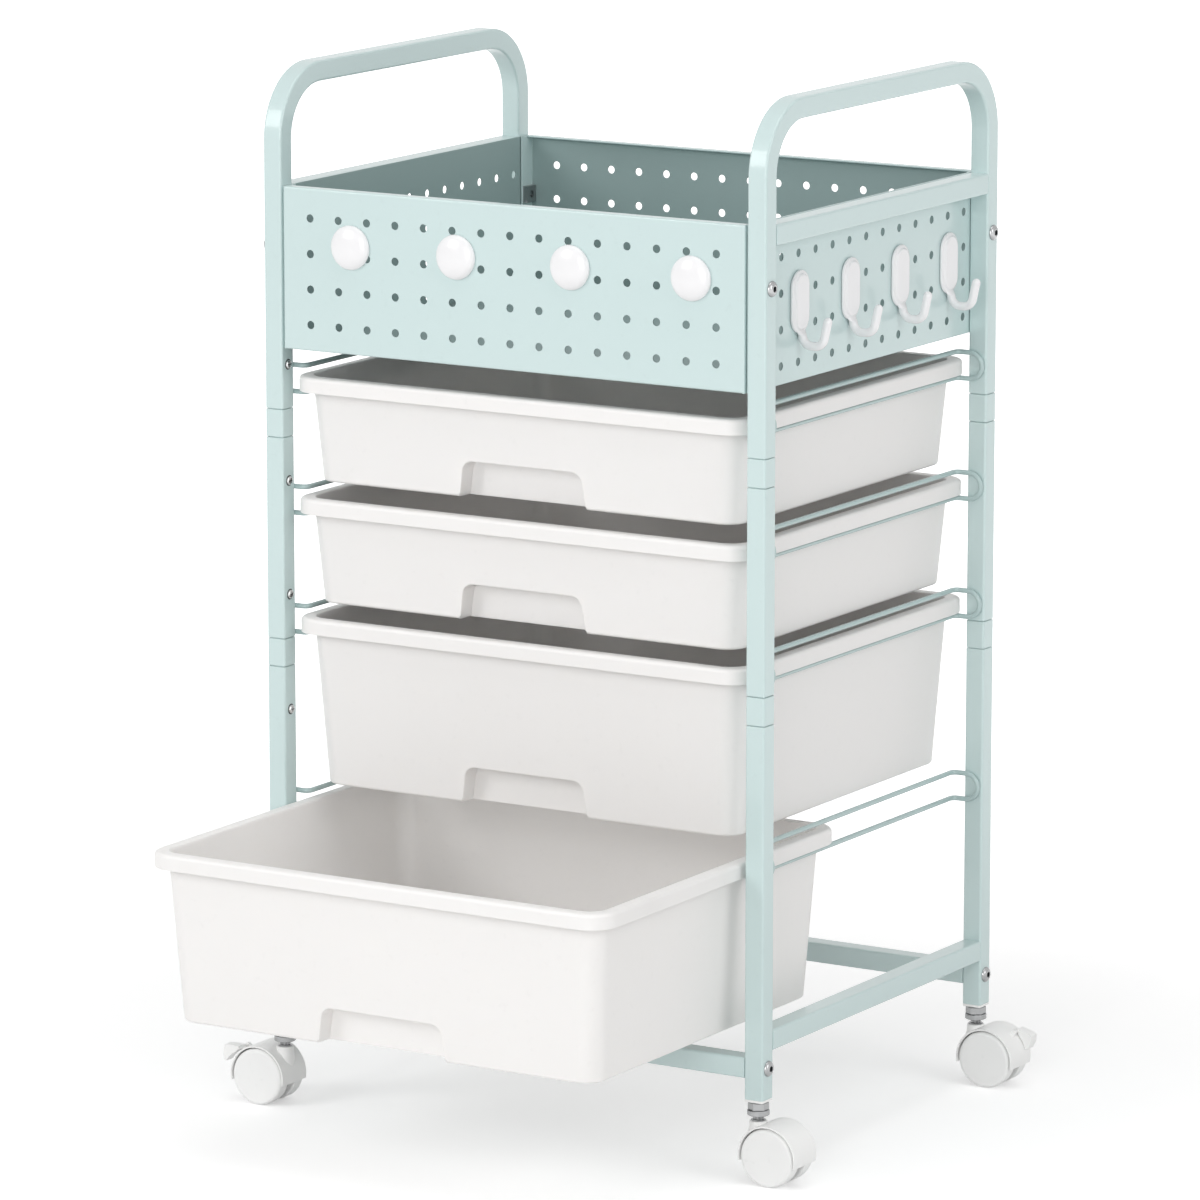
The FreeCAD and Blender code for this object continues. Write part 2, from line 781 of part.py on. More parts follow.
def drawer(label, top, height, draft, pull):
    """A moulded tray with drafted walls, a hanging rim and a finger recess.

    It is drawn about the middle of its rim's top face."""
    body = new_body(label)
    half_x = drawer_half_x
    half_y = drawer_half_y
    wall_x = half_x - s.rim_flange
    wall_y = half_y - s.rim_flange
    foot_x = wall_x - draft
    foot_y = wall_y - draft

    rim = new_sketch(body, label + "_rim", "XY_Plane", -s.rim_drop)
    rectangle(rim, -half_x, -half_y, half_x, half_y, s.rim_corner)
    rim_pad = pad(body, rim, s.rim_drop)
    bevel(body, rim_pad, s.rim_bevel, lambda edge: edge.BoundBox.ZMin > -SIZES["rim_bevel"] / 2)

    under = new_sketch(body, label + "_under", "XY_Plane", -s.rim_drop)
    lip = s.lip_thickness
    rectangle(under, lip - half_x, lip - half_y, half_x - lip, half_y - lip, s.rim_corner - lip)
    pocket(body, under, s.rim_drop - s.rim_thickness, backwards=True)

    cut = s.base_bevel
    base = new_sketch(body, label + "_base", "XY_Plane", -height)
    rectangle(base, cut - foot_x, cut - foot_y, foot_x - cut, foot_y - cut, s.drawer_corner - cut)
    low_x = foot_x + draft * cut / height
    low_y = foot_y + draft * cut / height
    foot = new_sketch(body, label + "_foot", "XY_Plane", cut - height)
    rectangle(foot, -low_x, -low_y, low_x, low_y, s.drawer_corner)
    head = new_sketch(body, label + "_head", "XY_Plane")
    rectangle(head, -wall_x, -wall_y, wall_x, wall_y, s.drawer_corner)
    loft(body, "AdditiveLoft", base, foot, head)

    wall = s.drawer_wall
    lean = draft * wall / height
    floor = new_sketch(body, label + "_floor", "XY_Plane", wall - height)
    inside_x = foot_x - wall + lean
    inside_y = foot_y - wall + lean
    inner_corner = s.drawer_corner - wall
    rectangle(floor, -inside_x, -inside_y, inside_x, inside_y, inner_corner)
    mouth = new_sketch(body, label + "_mouth", "XY_Plane")
    rectangle(mouth, wall - wall_x, wall - wall_y, wall_x - wall, wall_y - wall, inner_corner)
    loft(body, "SubtractiveLoft", floor, mouth)

    ribs = new_sketch(body, label + "_ribs", "XY_Plane", -s.rim_drop)
    rib_in = wall_x - wall / 2
    rib_out = half_x - lip / 2
    rib_y = s.rib_pitch * (s.rib_count - 1) / 2
    rib = s.rib_thickness / 2
    rectangle(ribs, rib_in, -rib_y - rib, rib_out, rib - rib_y)
    rectangle(ribs, -rib_out, -rib_y - rib, -rib_in, rib - rib_y)
    rib_pad = pad(body, ribs, s.rim_drop - s.rim_thickness / 2)
    row(body, rib_pad, ribs, "V_Axis", s.rib_count, s.rib_pitch)

    def recess_outline(sketch, margin):
        wide = s.recess_width / 2 + margin
        narrow = s.recess_top_width / 2 + margin
        high = s.recess_height + margin - height
        round_corner = s.recess_corner + margin
        outline(sketch, [(-wide, -height), (wide, -height),
                         (narrow, high, round_corner), (-narrow, high, round_corner)])

    liner = new_sketch(body, label + "_liner", "XZ_Plane", half_y)
    recess_outline(liner, wall)
    pad(body, liner, half_y - foot_y + s.recess_depth + wall, backwards=True)
    rise = s.recess_height + 2 * wall
    trim = new_sketch(body, label + "_trim", "YZ_Plane")
    outline(trim, [(-half_y - wall, -height), (-foot_y, -height),
                   (-foot_y - draft * rise / height, rise - height), (-half_y - wall, rise - height)])
    pocket(body, trim, s.recess_width + 4 * wall, both_sides=True)
    recess = new_sketch(body, label + "_recess", "XZ_Plane", half_y)
    recess_outline(recess, as_size(0))
    pocket(body, recess, half_y - foot_y + s.recess_depth)
    return put(body, 0, -as_size(pull), top)


# Basket


def peg_holes(body, label, role, offset, half_width, first_rise):
    """Rows and columns of peg holes through a panel, with one column in its middle."""
    sketch = new_sketch(body, label + "_peg", role, offset)
    beside = how_many(half_width - s.peg_margin, s.peg_pitch)
    rows = how_many(basket_top - s.basket_foot - 2 * s.peg_margin, s.peg_row_pitch) + 1
    polygon(sketch, -beside * s.peg_pitch, s.basket_foot + first_rise, s.peg_hole, SIZES["peg_sides"])
    hole = pocket(body, sketch, 4 * s.panel_sheet, both_sides=True)
    return grid(body, hole, sketch, 2 * beside + 1, s.peg_pitch, rows, s.peg_row_pitch)


def end_panel(label, turn):
    """Front or rear sheet, with a hem above and below and a bolted flange each side."""
    body = new_body(label)
    sheet_depth = s.panel_sheet
    top = basket_top
    face = new_sketch(body, label + "_face", "XZ_Plane", s.frame_depth / 2)
    rectangle(face, -end_panel_half, s.basket_foot, end_panel_half, top)
    pad(body, face, sheet_depth, backwards=True)
    folds = new_sketch(body, label + "_folds", "YZ_Plane")
    front = -s.frame_depth / 2
    rectangle(folds, front, s.basket_foot, front + s.panel_hem, s.basket_foot + sheet_depth)
    rectangle(folds, front, top - sheet_depth, front + s.panel_hem, top)
    pad(body, folds, 2 * end_panel_half, both_sides=True)
    flanges = new_sketch(body, label + "_flanges", "XY_Plane", s.basket_foot)
    inside = end_panel_half - sheet_depth
    rectangle(flanges, inside, front, end_panel_half, front + s.tube_side)
    rectangle(flanges, -end_panel_half, front, -inside, front + s.tube_side)
    pad(body, flanges, top - s.basket_foot)
    holes = new_sketch(body, label + "_bolt_holes", "YZ_Plane")
    polygon(holes, -post_y, s.bolt_upper_z, bolt_hole, HOLE_SIDES)
    pocket(body, holes, s.frame_width, both_sides=True)
    peg_holes(body, label, "XZ_Plane", s.frame_depth / 2, end_panel_half, s.front_row_rise)
    return put(body, 0, 0, 0, turn)


def side_panel(label, turn):
    """Side sheet inside the posts and the upper rail."""
    body = new_body(label)
    face = new_sketch(body, label + "_face", "YZ_Plane", panel_outer_x)
    rectangle(face, -side_panel_half, s.basket_foot, side_panel_half, basket_top)
    polygon(face, -post_y, s.bolt_upper_z, bolt_hole, HOLE_SIDES)
    polygon(face, post_y, s.bolt_upper_z, bolt_hole, HOLE_SIDES)
    pad(body, face, s.panel_sheet, backwards=True)
    peg_holes(body, label, "YZ_Plane", panel_outer_x, side_panel_half, s.side_row_rise)
    return put(body, 0, 0, 0, turn)


def basket_floor(label):
    """Bottom sheet, resting on the lower hems."""
    body = new_body(label)
    face = new_sketch(body, label + "_face", "XY_Plane")
    half_y = s.frame_depth / 2 - s.panel_sheet - s.panel_play
    half_x = end_panel_half - s.panel_sheet - s.panel_play
    rectangle(face, -half_x, -half_y, half_x, half_y)
    pad(body, face, s.panel_sheet)
    return put(body, 0, 0, s.basket_foot + s.panel_sheet)


# Hooks and magnets


def side_hook(label, column):
    """A moulded hook: a rounded plate with two pegs behind and a round J bar below."""
    body = new_body(label)
    plate = new_sketch(body, label + "_plate", "YZ_Plane")
    half_width = s.hook_width / 2
    half_height = s.hook_height / 2
    rectangle(plate, -half_width, -half_height, half_width, half_height, s.hook_corner)
    plate_pad = pad(body, plate, s.hook_plate)
    front = SIZES["hook_plate"]
    bevel(body, plate_pad, s.hook_bevel, lambda edge: edge.BoundBox.XMin > front / 2)
    path = new_sketch(body, label + "_path", "XZ_Plane")
    bar = s.hook_bar / 2
    low = -half_height - s.hook_drop
    start = -half_height + s.hook_bar / 2
    outer = bar + s.hook_mouth + s.hook_bar
    outline(path, [(bar, start), (bar, low, s.hook_bend), (outer, low, s.hook_bend),
                   (outer + s.hook_flare, low + s.hook_rise)], closed=False)
    section = new_sketch(body, label + "_section", "XY_Plane", start)
    polygon(section, bar, 0, s.hook_bar, SIZES["hook_sides"])
    pipe(body, section, path)
    pegs = new_sketch(body, label + "_pegs", "YZ_Plane")
    lower_peg = -s.hook_peg_drop
    polygon(pegs, 0, lower_peg, s.hook_peg, SIZES["peg_sides"])
    polygon(pegs, 0, lower_peg + s.peg_row_pitch, s.hook_peg, SIZES["peg_sides"])
    pad(body, pegs, s.hook_peg_length, backwards=True)
    peg_row = s.basket_foot + s.side_row_rise + s.peg_row_pitch
    return put(body, panel_outer_x + s.panel_play, s.peg_pitch * column, peg_row + s.hook_peg_drop)


def dome_magnet(label):
    """A low round dome, flat behind."""
    body = new_body(label)
    rings = []
    for rise, across in ((as_size(0), s.magnet_diameter), (s.magnet_edge, s.magnet_diameter),
                         (s.magnet_shoulder, s.magnet_shoulder_diameter),
                         (s.magnet_height, s.magnet_crown_diameter)):
        ring = new_sketch(body, "%s_ring_%d" % (label, len(rings) + 1), "XZ_Plane", rise)
        polygon(ring, 0, 0, across, SIZES["magnet_sides"])
        rings.append(ring)
    loft(body, "AdditiveLoft", *rings)
    return body


# Casters


def post_plug(label):
    """The foot of a post: a square lip and an insert, bored for the caster's stem."""
    body = new_body(label)
    lip = new_sketch(body, label + "_lip", "XY_Plane")
    bevelled_square(lip, as_size(0), as_size(0), s.tube_side, s.tube_bevel)
    pad(body, lip, s.plug_lip)
    insert = new_sketch(body, label + "_insert", "XY_Plane")
    centred_rectangle(insert, spigot_side, spigot_side)
    pad(body, insert, s.plug_lip + s.plug_length)
    bore = new_sketch(body, label + "_bore", "XY_Plane")
    polygon(bore, 0, 0, around(s.stem + 2 * s.stem_play, ROUND_SIDES), ROUND_SIDES)
    pocket(body, bore, s.stem_top - s.post_foot + s.plug_lip + s.stem_play, backwards=True)
    return body


def caster_stem(label):
    """A stem, stepped down below to the pin that the caster turns on."""
    body = new_body(label)
    shoulder = s.neck_top + s.stem_shoulder_gap
    pin = new_sketch(body, label + "_pin", "XY_Plane", s.pivot_pin_foot)
    polygon(pin, 0, 0, s.pivot_pin, ROUND_SIDES)
    pad(body, pin, shoulder - s.pivot_pin_foot)
    upper = new_sketch(body, label + "_upper", "XY_Plane", shoulder)
    polygon(upper, 0, 0, s.stem, ROUND_SIDES)
    pad(body, upper, s.stem_top - shoulder)
    return body


def caster_nut(label):
    """A hexagon nut on a round foot, tight under the post's plug."""
    body = new_body(label)
    lower = new_sketch(body, label + "_foot", "XY_Plane")
    polygon(lower, 0, 0, s.nut_flange, SIZES["nut_sides"])
    pad(body, lower, s.nut_tier)
    upper = new_sketch(body, label + "_hex", "XY_Plane")
    polygon(upper, 0, 0, s.nut_hex, HEXAGON)
    pad(body, upper, s.post_foot - s.plug_lip - s.nut_foot)
    bore = new_sketch(body, label + "_bore", "XY_Plane")
    polygon(bore, 0, 0, around(s.stem + 2 * s.stem_play, ROUND_SIDES), ROUND_SIDES)
    pocket(body, bore, s.tube_side, backwards=True)
    return body


def cover_outline(sketch, axle_x, axle_z):
    """The round hood in side view: an arc over the wheels, closed by a straight foot."""
    radius = hood_outer
    rear_x, rear_drop = polar(radius, s.hood_rear_angle)
    front_x, front_drop = polar(radius, s.hood_front_angle)
    centre = Vector(axle_x.number, axle_z.number, 0)
    first = -math.radians(SIZES["hood_rear_angle"])
    last = math.pi + math.radians(SIZES["hood_front_angle"])
    round_top = Part.Circle(centre, Vector(0, 0, 1), radius.number)
    arc = sketch.addGeometry(Part.ArcOfCircle(round_top, first, last), False)
    ends = [centre + Vector(math.cos(a), math.sin(a), 0) * radius.number for a in (last, first)]
    foot = sketch.addGeometry(Part.LineSegment(*ends), False)
    sketch.addConstraint(Sketcher.Constraint("Coincident", arc, 2, foot, 1))
    sketch.addConstraint(Sketcher.Constraint("Coincident", foot, 2, arc, 1))
    fix_point(sketch, arc, 3, axle_x, axle_z)
    fix(sketch, "Radius", (arc,), radius)
    fix(sketch, "DistanceY", (-1, 1, arc, 1), axle_z - rear_drop)
    fix(sketch, "DistanceY", (-1, 1, arc, 2), axle_z - front_drop)


def brake_ear(body, label, axle_x, axle_z):
    """The lug on the hood's back that holds the brake lever's pin."""
    across, up = polar(s.lever_pivot_radius, s.lever_pivot_angle)
    x, z = axle_x + across, axle_z + up
    in_x, in_z = polar(s.hood_inner, s.lever_pivot_angle)
    half = s.ear / 2
    ear = new_sketch(body, label + "_ear", "XZ_Plane", -s.ear_width)
    outline(ear, [(x - half, z), (x, z + half), (x + half, z),
                  (axle_x + in_x + half, axle_z + in_z), (axle_x + in_x - half, axle_z + in_z)])
    polygon(ear, x, z, around(s.lever_pin + 2 * s.running_gap, ROUND_SIDES), ROUND_SIDES)
    pad(body, ear, s.ear_width, backwards=True)


def caster_hood(label, place, braked):
    """Wheel cover, web, axle and neck in one moulding, drawn about the stem's axis."""
    body = new_body(label)
    axle_x = s.trail
    axle_z = s.wheel_radius
    if braked:
        brake_ear(body, label, axle_x, axle_z)
    cover = new_sketch(body, label + "_cover", "XZ_Plane")
    cover_outline(cover, axle_x, axle_z)
    pad(body, cover, 2 * caster_half_width, both_sides=True)
    neck = new_sketch(body, label + "_neck", "XY_Plane", s.pivot_pin_foot)
    circle(neck, 0, 0, s.neck_diameter)
    pad(body, neck, s.neck_top - s.pivot_pin_foot)
    for name, side, backwards in (("front", 1, True), ("rear", -1, False)):
        room = new_sketch(body, "%s_%s_room" % (label, name), "XZ_Plane", side * s.web / 2)
        circle(room, axle_x, axle_z, 2 * s.hood_inner)
        pocket(body, room, s.wheel_width * 2, backwards=backwards)
    pin = new_sketch(body, label + "_axle", "XZ_Plane")
    polygon(pin, axle_x, axle_z, s.axle, ROUND_SIDES)
    pad(body, pin, 2 * s.axle_reach, both_sides=True)
    bore = new_sketch(body, label + "_bore", "XY_Plane", s.neck_top)
    polygon(bore, 0, 0, around(s.pivot_pin + 2 * s.running_gap, ROUND_SIDES), ROUND_SIDES)
    pocket(body, bore, s.neck_top - s.pivot_pin_foot + s.pin_end_gap)
    x, y, z, turn = place
    return put(body, x, y, 0, turn)


def brake_lever(label, place, raised):
    """A wedge that hugs the back of the hood and turns on its own pin."""
    body = new_body(label)
    pivot_x, pivot_z = polar(s.lever_pivot_radius, s.lever_pivot_angle)

    def spot(radius, angle):
        across, up = polar(radius, angle)
        return across - pivot_x, up - pivot_z

    hug = hood_outer + s.lever_gap
    middle_angle = (s.lever_root_angle + s.lever_heel_angle) / 2
    inner = s.ear_width * 2 + s.lever_side_gap
    side = new_sketch(body, label + "_side", "XZ_Plane", -inner)
    outline(side, [(-s.lever_boss, 0), (0, -s.lever_boss / 2), spot(hug, s.lever_root_angle),
                   spot(hug, middle_angle), spot(hug, s.lever_heel_angle),
                   spot(s.lever_heel_radius, s.lever_heel_angle),
                   spot(s.lever_tip_radius, s.lever_tip_angle), (0, s.lever_boss)])
    pad(body, side, caster_half_width - inner, backwards=True)
    pin = new_sketch(body, label + "_pin", "XZ_Plane", -s.ear_width)
    circle(pin, 0, 0, s.lever_pin)
    pad(body, pin, inner, backwards=True)
    x, y, z, turn = place
    across = s.trail + pivot_x
    sign = 1 if turn == 0 else -1
    put(body, x + sign * across, y, s.wheel_radius + pivot_z, turn)
    lift = Rotation(Vector(0, -1, 0), SIZES["brake_travel"] if raised else 0)
    body.Placement = Placement(body.Placement.Base, body.Placement.Rotation.multiply(lift))
    return body


def caster_wheel(label, place, side):
    """One of the twin wheels: a closed disc with a blind bore on its inner face."""
    body = new_body(label)
    profile = new_sketch(body, label + "_profile", "YZ_Plane")
    inner = s.web / 2 + s.wheel_gap
    outer = inner + s.wheel_width
    radius = s.wheel_radius
    cut = s.wheel_bevel
    outline(profile, [(inner, 0), (inner, radius), (outer - cut, radius), (outer, radius - cut), (outer, 0)])
    revolve(body, profile)
    bore = new_sketch(body, label + "_bore", "XZ_Plane", -inner)
    polygon(bore, 0, 0, around(s.axle + 2 * s.running_gap, ROUND_SIDES), ROUND_SIDES)
    pocket(body, bore, s.axle_reach + s.wheel_gap - inner)
    x, y, z, turn = place
    sign = 1 if turn == 0 else -1
    return put(body, x + sign * s.trail, y, s.wheel_radius, 0 if side > 0 else 180)


# The whole cart

places = dict(zip(CORNERS, at_posts(0)))
nodes = [
    handle_tube("handle_tube_right", 1, 0),
    handle_tube("handle_tube_left", -1, 180),
    side_rail("upper_side_rail_right", 1, s.upper_rail_z),
    side_rail("upper_side_rail_left", -1, s.upper_rail_z),
    side_rail("lower_side_rail_right", 1, s.lower_rail_z),
    side_rail("lower_side_rail_left", -1, s.lower_rail_z),
    cross_rail("lower_front_rail", -1),
    cross_rail("lower_rear_rail", 1),
]
for corner, place in places.items():
    nodes.append(middle_post("middle_post_" + corner, place))
    nodes.append(lower_post("lower_post_" + corner, place))

drawn = {
    "connector": tube_connector("connector"),
    "screw": connector_screw("screw"),
    "bolt": frame_bolt("bolt"),
    "nut": frame_nut("nut"),
    "plug": post_plug("plug"),
    "stem_shape": caster_stem("stem_shape"),
    "caster_nut": caster_nut("caster_nut"),
    "magnet": dome_magnet("magnet"),
}
nodes.append(group("tube_connectors", drawn["connector"],
                   at_posts(s.lower_joint_z) + at_posts(s.upper_joint_z)))

screw_heights = [s.lower_joint_z - s.screw_offset, upper_middle_foot + s.screw_offset,
                 s.upper_joint_z - s.screw_offset, handle_foot + s.screw_offset]
screw_places = []
for height in screw_heights:
    for side, turn in ((1, 0), (-1, 180)):
        screw_places += [(side * post_inner_x, end * post_y, height, turn) for end in (1, -1)]
nodes.append(group("connector_screws", drawn["screw"], screw_places))

bolt_places = []
nut_places = []
for height, seat in ((s.bolt_lower_z, post_inner_x - s.nut_inset),
                     (s.bolt_upper_z, end_panel_half - s.panel_sheet)):
    for side, turn in ((1, 0), (-1, 180)):
        for end in (1, -1):
            bolt_places.append((side * s.frame_width / 2, end * post_y, height, turn))
            nut_places.append((side * seat, end * post_y, height, turn))
nodes.append(group("frame_bolts", drawn["bolt"], bolt_places))
nodes.append(group("frame_nuts", drawn["nut"], nut_places))

drawer_tops = [s.drawer_1_top, s.drawer_2_top, s.drawer_3_top, s.drawer_4_top]
for level, top in enumerate(drawer_tops, start=1):
    nodes.append(runner("runner_%d_right" % level, 1, 0, top))
    nodes.append(runner("runner_%d_left" % level, -1, 180, top))
    deep = level > 2
    height = s.deep_height if deep else s.shallow_height
    draft = s.deep_draft if deep else s.shallow_draft
    pull = s.drawer_4_pull if level == 4 else 0
    nodes.append(drawer("drawer_%d" % level, top, height, draft, pull))

nodes.append(end_panel("basket_front_panel", 0))
nodes.append(end_panel("basket_rear_panel", 180))
nodes.append(side_panel("basket_right_panel", 0))
nodes.append(side_panel("basket_left_panel", 180))
nodes.append(basket_floor("basket_floor"))

for k in range(4):
    nodes.append(side_hook("side_hook_%d" % (k + 1), s.hook_first + s.hook_columns * k))
magnet_places = [(x, -s.frame_depth / 2, s.magnet_z, 0)
                 for x in (s.magnet_1_x, s.magnet_2_x, s.magnet_3_x, s.magnet_4_x)]
nodes.append(group("dome_magnets", drawn["magnet"], magnet_places))

nodes.append(group("post_plugs", drawn["plug"], at_posts(s.post_foot - s.plug_lip)))
nodes.append(group("caster_stems", drawn["stem_shape"], at_posts(0)))
nodes.append(group("caster_nuts", drawn["caster_nut"], at_posts(s.nut_foot)))
BRAKED = ("rear_right", "front_left")
for corner, place in places.items():
    braked = corner in BRAKED
    nodes.append(caster_hood("caster_hood_" + corner, place, braked))
    nodes.append(caster_wheel("rear_wheel_" + corner, place, 1))
    nodes.append(caster_wheel("front_wheel_" + corner, place, -1))
    if braked:
        nodes.append(brake_lever("brake_lever_" + corner, place, corner == "front_left"))

doc.recompute()

# Every object has to be sound before anything is written
for item in doc.Objects:
    if "Invalid" in item.State or "Error" in item.State:
        raise RuntimeError("%s is %s" % (item.Name, item.State))
for node in nodes:
    if node.Shape.isNull() or not node.Shape.isValid():
        raise RuntimeError("%s has no valid shape" % node.Label)

os.makedirs("parts", exist_ok=True)
for node in nodes:
    node.Shape.exportStep("parts/%s.step" % node.Label)
print("%d nodes written" % len(nodes))
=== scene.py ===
"""Looks of the rolling storage cart: round-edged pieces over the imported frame.

Sizes are written in millimetres and turned into metres where a mesh is made."""

import math

import bmesh
import bpy
from mathutils import Matrix, Vector


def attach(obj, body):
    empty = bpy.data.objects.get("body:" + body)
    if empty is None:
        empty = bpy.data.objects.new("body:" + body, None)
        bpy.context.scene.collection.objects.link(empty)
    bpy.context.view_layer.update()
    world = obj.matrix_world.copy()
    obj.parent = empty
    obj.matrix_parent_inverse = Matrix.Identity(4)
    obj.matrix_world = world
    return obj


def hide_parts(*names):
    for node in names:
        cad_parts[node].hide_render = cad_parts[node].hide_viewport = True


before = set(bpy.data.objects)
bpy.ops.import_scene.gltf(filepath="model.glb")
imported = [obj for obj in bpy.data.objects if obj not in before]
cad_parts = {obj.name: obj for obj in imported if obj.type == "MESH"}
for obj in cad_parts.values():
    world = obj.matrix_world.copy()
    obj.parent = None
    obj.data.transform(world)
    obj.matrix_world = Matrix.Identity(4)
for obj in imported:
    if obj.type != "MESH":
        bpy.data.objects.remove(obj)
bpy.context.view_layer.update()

MM = 0.001
X = Vector((1, 0, 0))
Y = Vector((0, 1, 0))
Z = Vector((0, 0, 1))

# Places shared with the part's source
MID_Y = 94.2
POST_X = 212.0
POST_Y = 169.5
HALF_TUBE = 8.0
INNER_X = POST_X - HALF_TUBE
INNER_Y = POST_Y - HALF_TUBE
CORNERS = {"front_right": (1, -1), "rear_right": (1, 1),
           "front_left": (-1, -1), "rear_left": (-1, 1)}
BRAKED = ("rear_right", "front_left")
POST_FOOT = 63.0
LOWER_JOINT, UPPER_JOINT = 347.5, 525.5
COLLAR = 21.8
CROSS_RAIL_Z = 86.8
LOWER_RAIL_Z = 106.8
UPPER_RAIL_Z = 710.9
UPPER_BOLT_Z = 672.5


# Materials

DRIFT_SCALE = 7.0
SCUFF_SCALE = 140.0
SCUFF_SHADE = 0.86
GLOSS_DRIFT = 0.14


def new_material(name):
    made = bpy.data.materials.new(name)
    made.use_nodes = True
    return made, made.node_tree.nodes, made.node_tree.links


def add_node(nodes, kind, **values):
    """A node with plain values on its inputs. An underscore stands for a space."""
    made = nodes.new("ShaderNode" + kind)
    for name, value in values.items():
        made.inputs[name.replace("_", " ")].default_value = value
    return made


def coated(name, colour, roughness, grain, depth, mottle=0.03,
           coat=0.0, metallic=0.0, scatter=0.0, scuff=0.0):
    """Fine grain in the height, a slow drift in colour and gloss, and small scuffs."""
    made, nodes, links = new_material(name)
    shader = nodes["Principled BSDF"]
    place = nodes.new("ShaderNodeTexCoord")

    def noise(scale, detail, rough=0.5):
        texture = add_node(nodes, "TexNoise", Scale=scale, Detail=detail, Roughness=rough)
        links.new(place.outputs["Object"], texture.inputs["Vector"])
        return texture.outputs["Fac"]

    fine = noise(grain, 3.0)
    slow = noise(DRIFT_SCALE, 2.0)
    marks = noise(SCUFF_SCALE, 5.0, 0.65)

    tint = nodes.new("ShaderNodeMix")
    tint.data_type = "RGBA"
    tint.inputs["A"].default_value = [c * (1 - mottle) for c in colour] + [1]
    tint.inputs["B"].default_value = [min(1, c * (1 + mottle)) for c in colour] + [1]
    links.new(slow, tint.inputs["Factor"])
    reach = add_node(nodes, "MapRange", From_Min=0.60, From_Max=0.74, To_Max=scuff)
    links.new(marks, reach.inputs["Value"])
    rubbed = nodes.new("ShaderNodeMix")
    rubbed.data_type = "RGBA"
    rubbed.inputs["B"].default_value = [c * SCUFF_SHADE for c in colour] + [1]
    links.new(tint.outputs["Result"], rubbed.inputs["A"])
    links.new(reach.outputs["Result"], rubbed.inputs["Factor"])
    links.new(rubbed.outputs["Result"], shader.inputs["Base Color"])

    gloss = add_node(nodes, "MapRange", To_Min=roughness * (1 - GLOSS_DRIFT),
                     To_Max=roughness * (1 + GLOSS_DRIFT))
    links.new(slow, gloss.inputs["Value"])
    links.new(gloss.outputs["Result"], shader.inputs["Roughness"])
    bump = add_node(nodes, "Bump", Strength=0.5, Distance=depth)
    links.new(fine, bump.inputs["Height"])
    links.new(bump.outputs["Normal"], shader.inputs["Normal"])

    shader.inputs["Metallic"].default_value = metallic
    shader.inputs["Coat Weight"].default_value = coat
    shader.inputs["Coat Roughness"].default_value = 0.07
    if scatter:
        shader.inputs["Subsurface Weight"].default_value = scatter
        shader.inputs["Subsurface Radius"].default_value = (1.0, 0.97, 0.93)
        shader.inputs["Subsurface Scale"].default_value = 0.004
    return made


MINT = coated("mint_powder_coat", (0.57, 0.70, 0.694), 0.34, 900, 0.00006, 0.015,
              coat=0.5, scuff=0.25)
# The runners' wire has the frame's paint; its darker colour is painted shade.
SHADED_WIRE = coated("mint_wire_painted_shade", (0.43, 0.555, 0.55), 0.34, 900, 0.00006, 0.02, coat=0.4, scuff=0.25)
# The basket's inner faces and floor have the frame's paint; their darker colour is painted shade.
SHADED_INSIDE = coated("mint_inside_basket_painted_shade", (0.32, 0.42, 0.415), 0.45, 900, 0.00006, 0.02, scuff=0.25)
# The hole walls have the frame's paint; their near-black colour is painted shade.
SHADED_BORE = coated("mint_hole_walls_painted_shade", (0.16, 0.22, 0.22), 0.6, 900, 0.00003, 0.02)
TRAY = coated("white_drawer_plastic", (0.885, 0.868, 0.852), 0.40, 1500, 0.00003, 0.012,
              scatter=0.4, scuff=0.2)
GLOSS = coated("white_gloss_plastic", (0.86, 0.855, 0.865), 0.20, 700, 0.00001, 0.01,
               coat=0.3, scuff=0.1)
CASTER = coated("white_caster_nylon", (0.945, 0.945, 0.935), 0.38, 1300, 0.00003, 0.012, scuff=0.2)
TREAD = coated("white_wheel", (0.94, 0.943, 0.935), 0.44, 1100, 0.00004, 0.015, scuff=0.4)
ZINC = coated("zinc_plate", (0.40, 0.405, 0.41), 0.27, 1600, 0.00005, 0.10,
              metallic=1.0, scuff=0.4)
CHROME = coated("screw_plate", (0.72, 0.72, 0.72), 0.18, 1600, 0.00003, 0.05,
                metallic=1.0, scuff=0.3)
# Near black: painted shade in the bolts' sockets and the screws' slots, and the painted shadow
# round the screw heads.
PAINTED_SHADE = coated("painted_shade_sockets_slots_rings", (0.05, 0.055, 0.06), 0.45, 1600, 0.00005, 0.10, metallic=0.6)


# Meshes

class Shell:
    """Points in millimetres and the faces between them."""

    def __init__(self):
        self.points = []
        self.faces = []

    def ring(self, points):
        start = len(self.points)
        self.points += [Vector(p) for p in points]
        return list(range(start, len(self.points)))

    def bridge(self, first, second, closed=True):
        count = len(first)
        for i in range(count if closed else count - 1):
            j = (i + 1) % count
            self.faces.append((first[i], first[j], second[j], second[i]))

    def cap(self, ring):
        self.faces.append(tuple(ring))

    def skin(self, rings, ends=True):
        """Bridges rings of points in turn and closes both ends."""
        made = [self.ring(points) for points in rings]
        for first, second in zip(made, made[1:]):
            self.bridge(first, second)
        if ends:
            self.cap(made[0])
            self.cap(made[-1])
        return made

    def turned(self, matrix):
        """The same shell at another place."""
        other = Shell()
        other.points = [matrix @ p for p in self.points]
        other.faces = list(self.faces)
        return other

    def take(self, other):
        """Adds another shell. Returns the numbers of its faces here."""
        start, first = len(self.points), len(self.faces)
        self.points += other.points
        self.faces += [tuple(start + i for i in face) for face in other.faces]
        return list(range(first, len(self.faces)))


